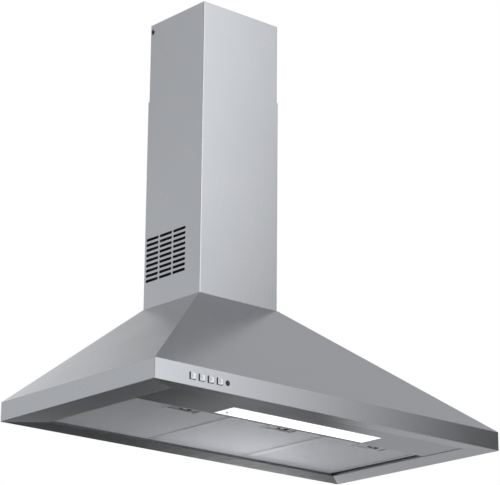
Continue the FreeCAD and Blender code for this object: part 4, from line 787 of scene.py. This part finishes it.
# %% [markdown]
# The finger plate in the front of each filter is a moulded tray with a window, where the tab of the latch
# shows. A grid with its lines at the window's edges gives the plate, and taking out one cell opens the
# window. One inset that is also pushed in leaves a rim round the plate and round the window. The walls of
# the window take the dark switch plastic as painted shade, so it reads as a hollow.

# %% The finger plates
RIM, TRAY, CUP_WALL, PLATE_EDGE = 0.9 * MM, 0.8 * MM, 1.2 * MM, 0.25 * MM


def window_lines(places, start, end):
    """The plate's two ends and, between them, the edges of the hollow that the solid has."""
    inside = [place for place in places if start + CUP_WALL < place < end - CUP_WALL]
    return [start, inside[0], inside[-1], end]


def finger_plate(name, node):
    low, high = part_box(node)
    across = window_lines(lines(node, 0), low.x, high.x)
    back = window_lines(lines(node, 1), low.y, high.y)
    form = grid_plate(across, back, high.z)
    middle = Vector((sum(across[1:3]) / 2, sum(back[1:3]) / 2, high.z))
    window = min(form.faces, key=lambda face: (face.calc_center_median() - middle).length)
    bmesh.ops.delete(form, geom=[window], context="FACES")
    thicken(form, low.z - high.z)
    bmesh.ops.recalc_face_normals(form, faces=form.faces)
    under = [face for face in form.faces if face.normal.z < -0.9]
    bmesh.ops.inset_region(form, faces=under, thickness=RIM, depth=-TRAY, use_even_offset=True)
    for face in form.faces:
        spot = face.calc_center_median()
        in_column = across[1] - RIM / 2 < spot.x < across[2] + RIM / 2
        in_row = back[1] - RIM / 2 < spot.y < back[2] + RIM / 2
        # Painted shade: the window's walls take the dark second finish.
        face.material_index = int(in_column and in_row and abs(face.normal.z) < 0.1)
    round_edges(form, PLATE_EDGE)
    print(name, "window:", [round((end - start) / MM, 1) for start, end in (across[1:3], back[1:3])])
    return even_shading(add_piece(name, form, node, "handle_plastic", "switch_plastic"))


for number in (1, 2, 3):
    finger_plate(f"finger_plate_{number}", f"filter_handle_{number}")

# %% [markdown]
# Each push button has a bright cap with a shallow dish for the fingertip. Its sides are painted in a darker
# copy of the cap's finish: painted shade. The dish is two insets of the front face, the second pushed in.
# A raised dot marks the lamp's button, and one to three raised bars mark the fan's speeds, so that a finger
# can tell them apart.

# %% The push buttons
RING, DISH_SLOPE, DISH, FRONT = 1.3 * MM, 0.5 * MM, 0.35 * MM, 0.1 * MM
BAR, BAR_GAP, BAR_EDGE, DOT = (0.7 * MM, 0.6 * MM, 4 * MM), 1.9 * MM, 0.2 * MM, (0.9 * MM, 1.2 * MM)


def add_dot(form, middle):
    bmesh.ops.create_cone(
        form, cap_ends=True, segments=24, radius1=DOT[0], radius2=DOT[1], depth=BAR[1],
        matrix=Matrix.Translation(middle) @ Matrix.Rotation(math.pi / 2, 4, "X"),
    )


def add_bar(form, middle):
    bar = bmesh.ops.create_cube(form, size=1)
    bmesh.ops.scale(form, vec=BAR, verts=bar["verts"])
    bmesh.ops.translate(form, vec=middle, verts=bar["verts"])
    bevel(form, list({edge for vert in bar["verts"] for edge in vert.link_edges}), BAR_EDGE)


def push_button(number):
    node = f"push_button_{number}"
    low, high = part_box(node)
    form = clean_copy(node)
    for face in form.faces:
        # Faces that don't face the front take the darker second finish: painted shade.
        face.material_index = int(face.normal.y > -0.5)
    front = [
        face for face in form.faces
        if face.normal.y < -0.999 and face.calc_center_median().y < low.y + FRONT
    ]
    bmesh.ops.inset_region(form, faces=front, thickness=RING, use_even_offset=True)
    bmesh.ops.inset_region(form, faces=front, thickness=DISH_SLOPE, depth=-DISH, use_even_offset=True)
    middle = Vector(((low.x + high.x) / 2, low.y + DISH, (low.z + high.z) / 2))
    if number == 1:
        add_dot(form, middle)
    for bar in range(number - 1):
        add_bar(form, middle + Vector(((bar - (number - 2) / 2) * BAR_GAP, 0, 0)))
    return even_shading(add_piece(f"button_cap_{number}", form, node, "button_plastic", "button_side_shade"))


for number in (1, 2, 3, 4):
    print(push_button(number).name, "made")
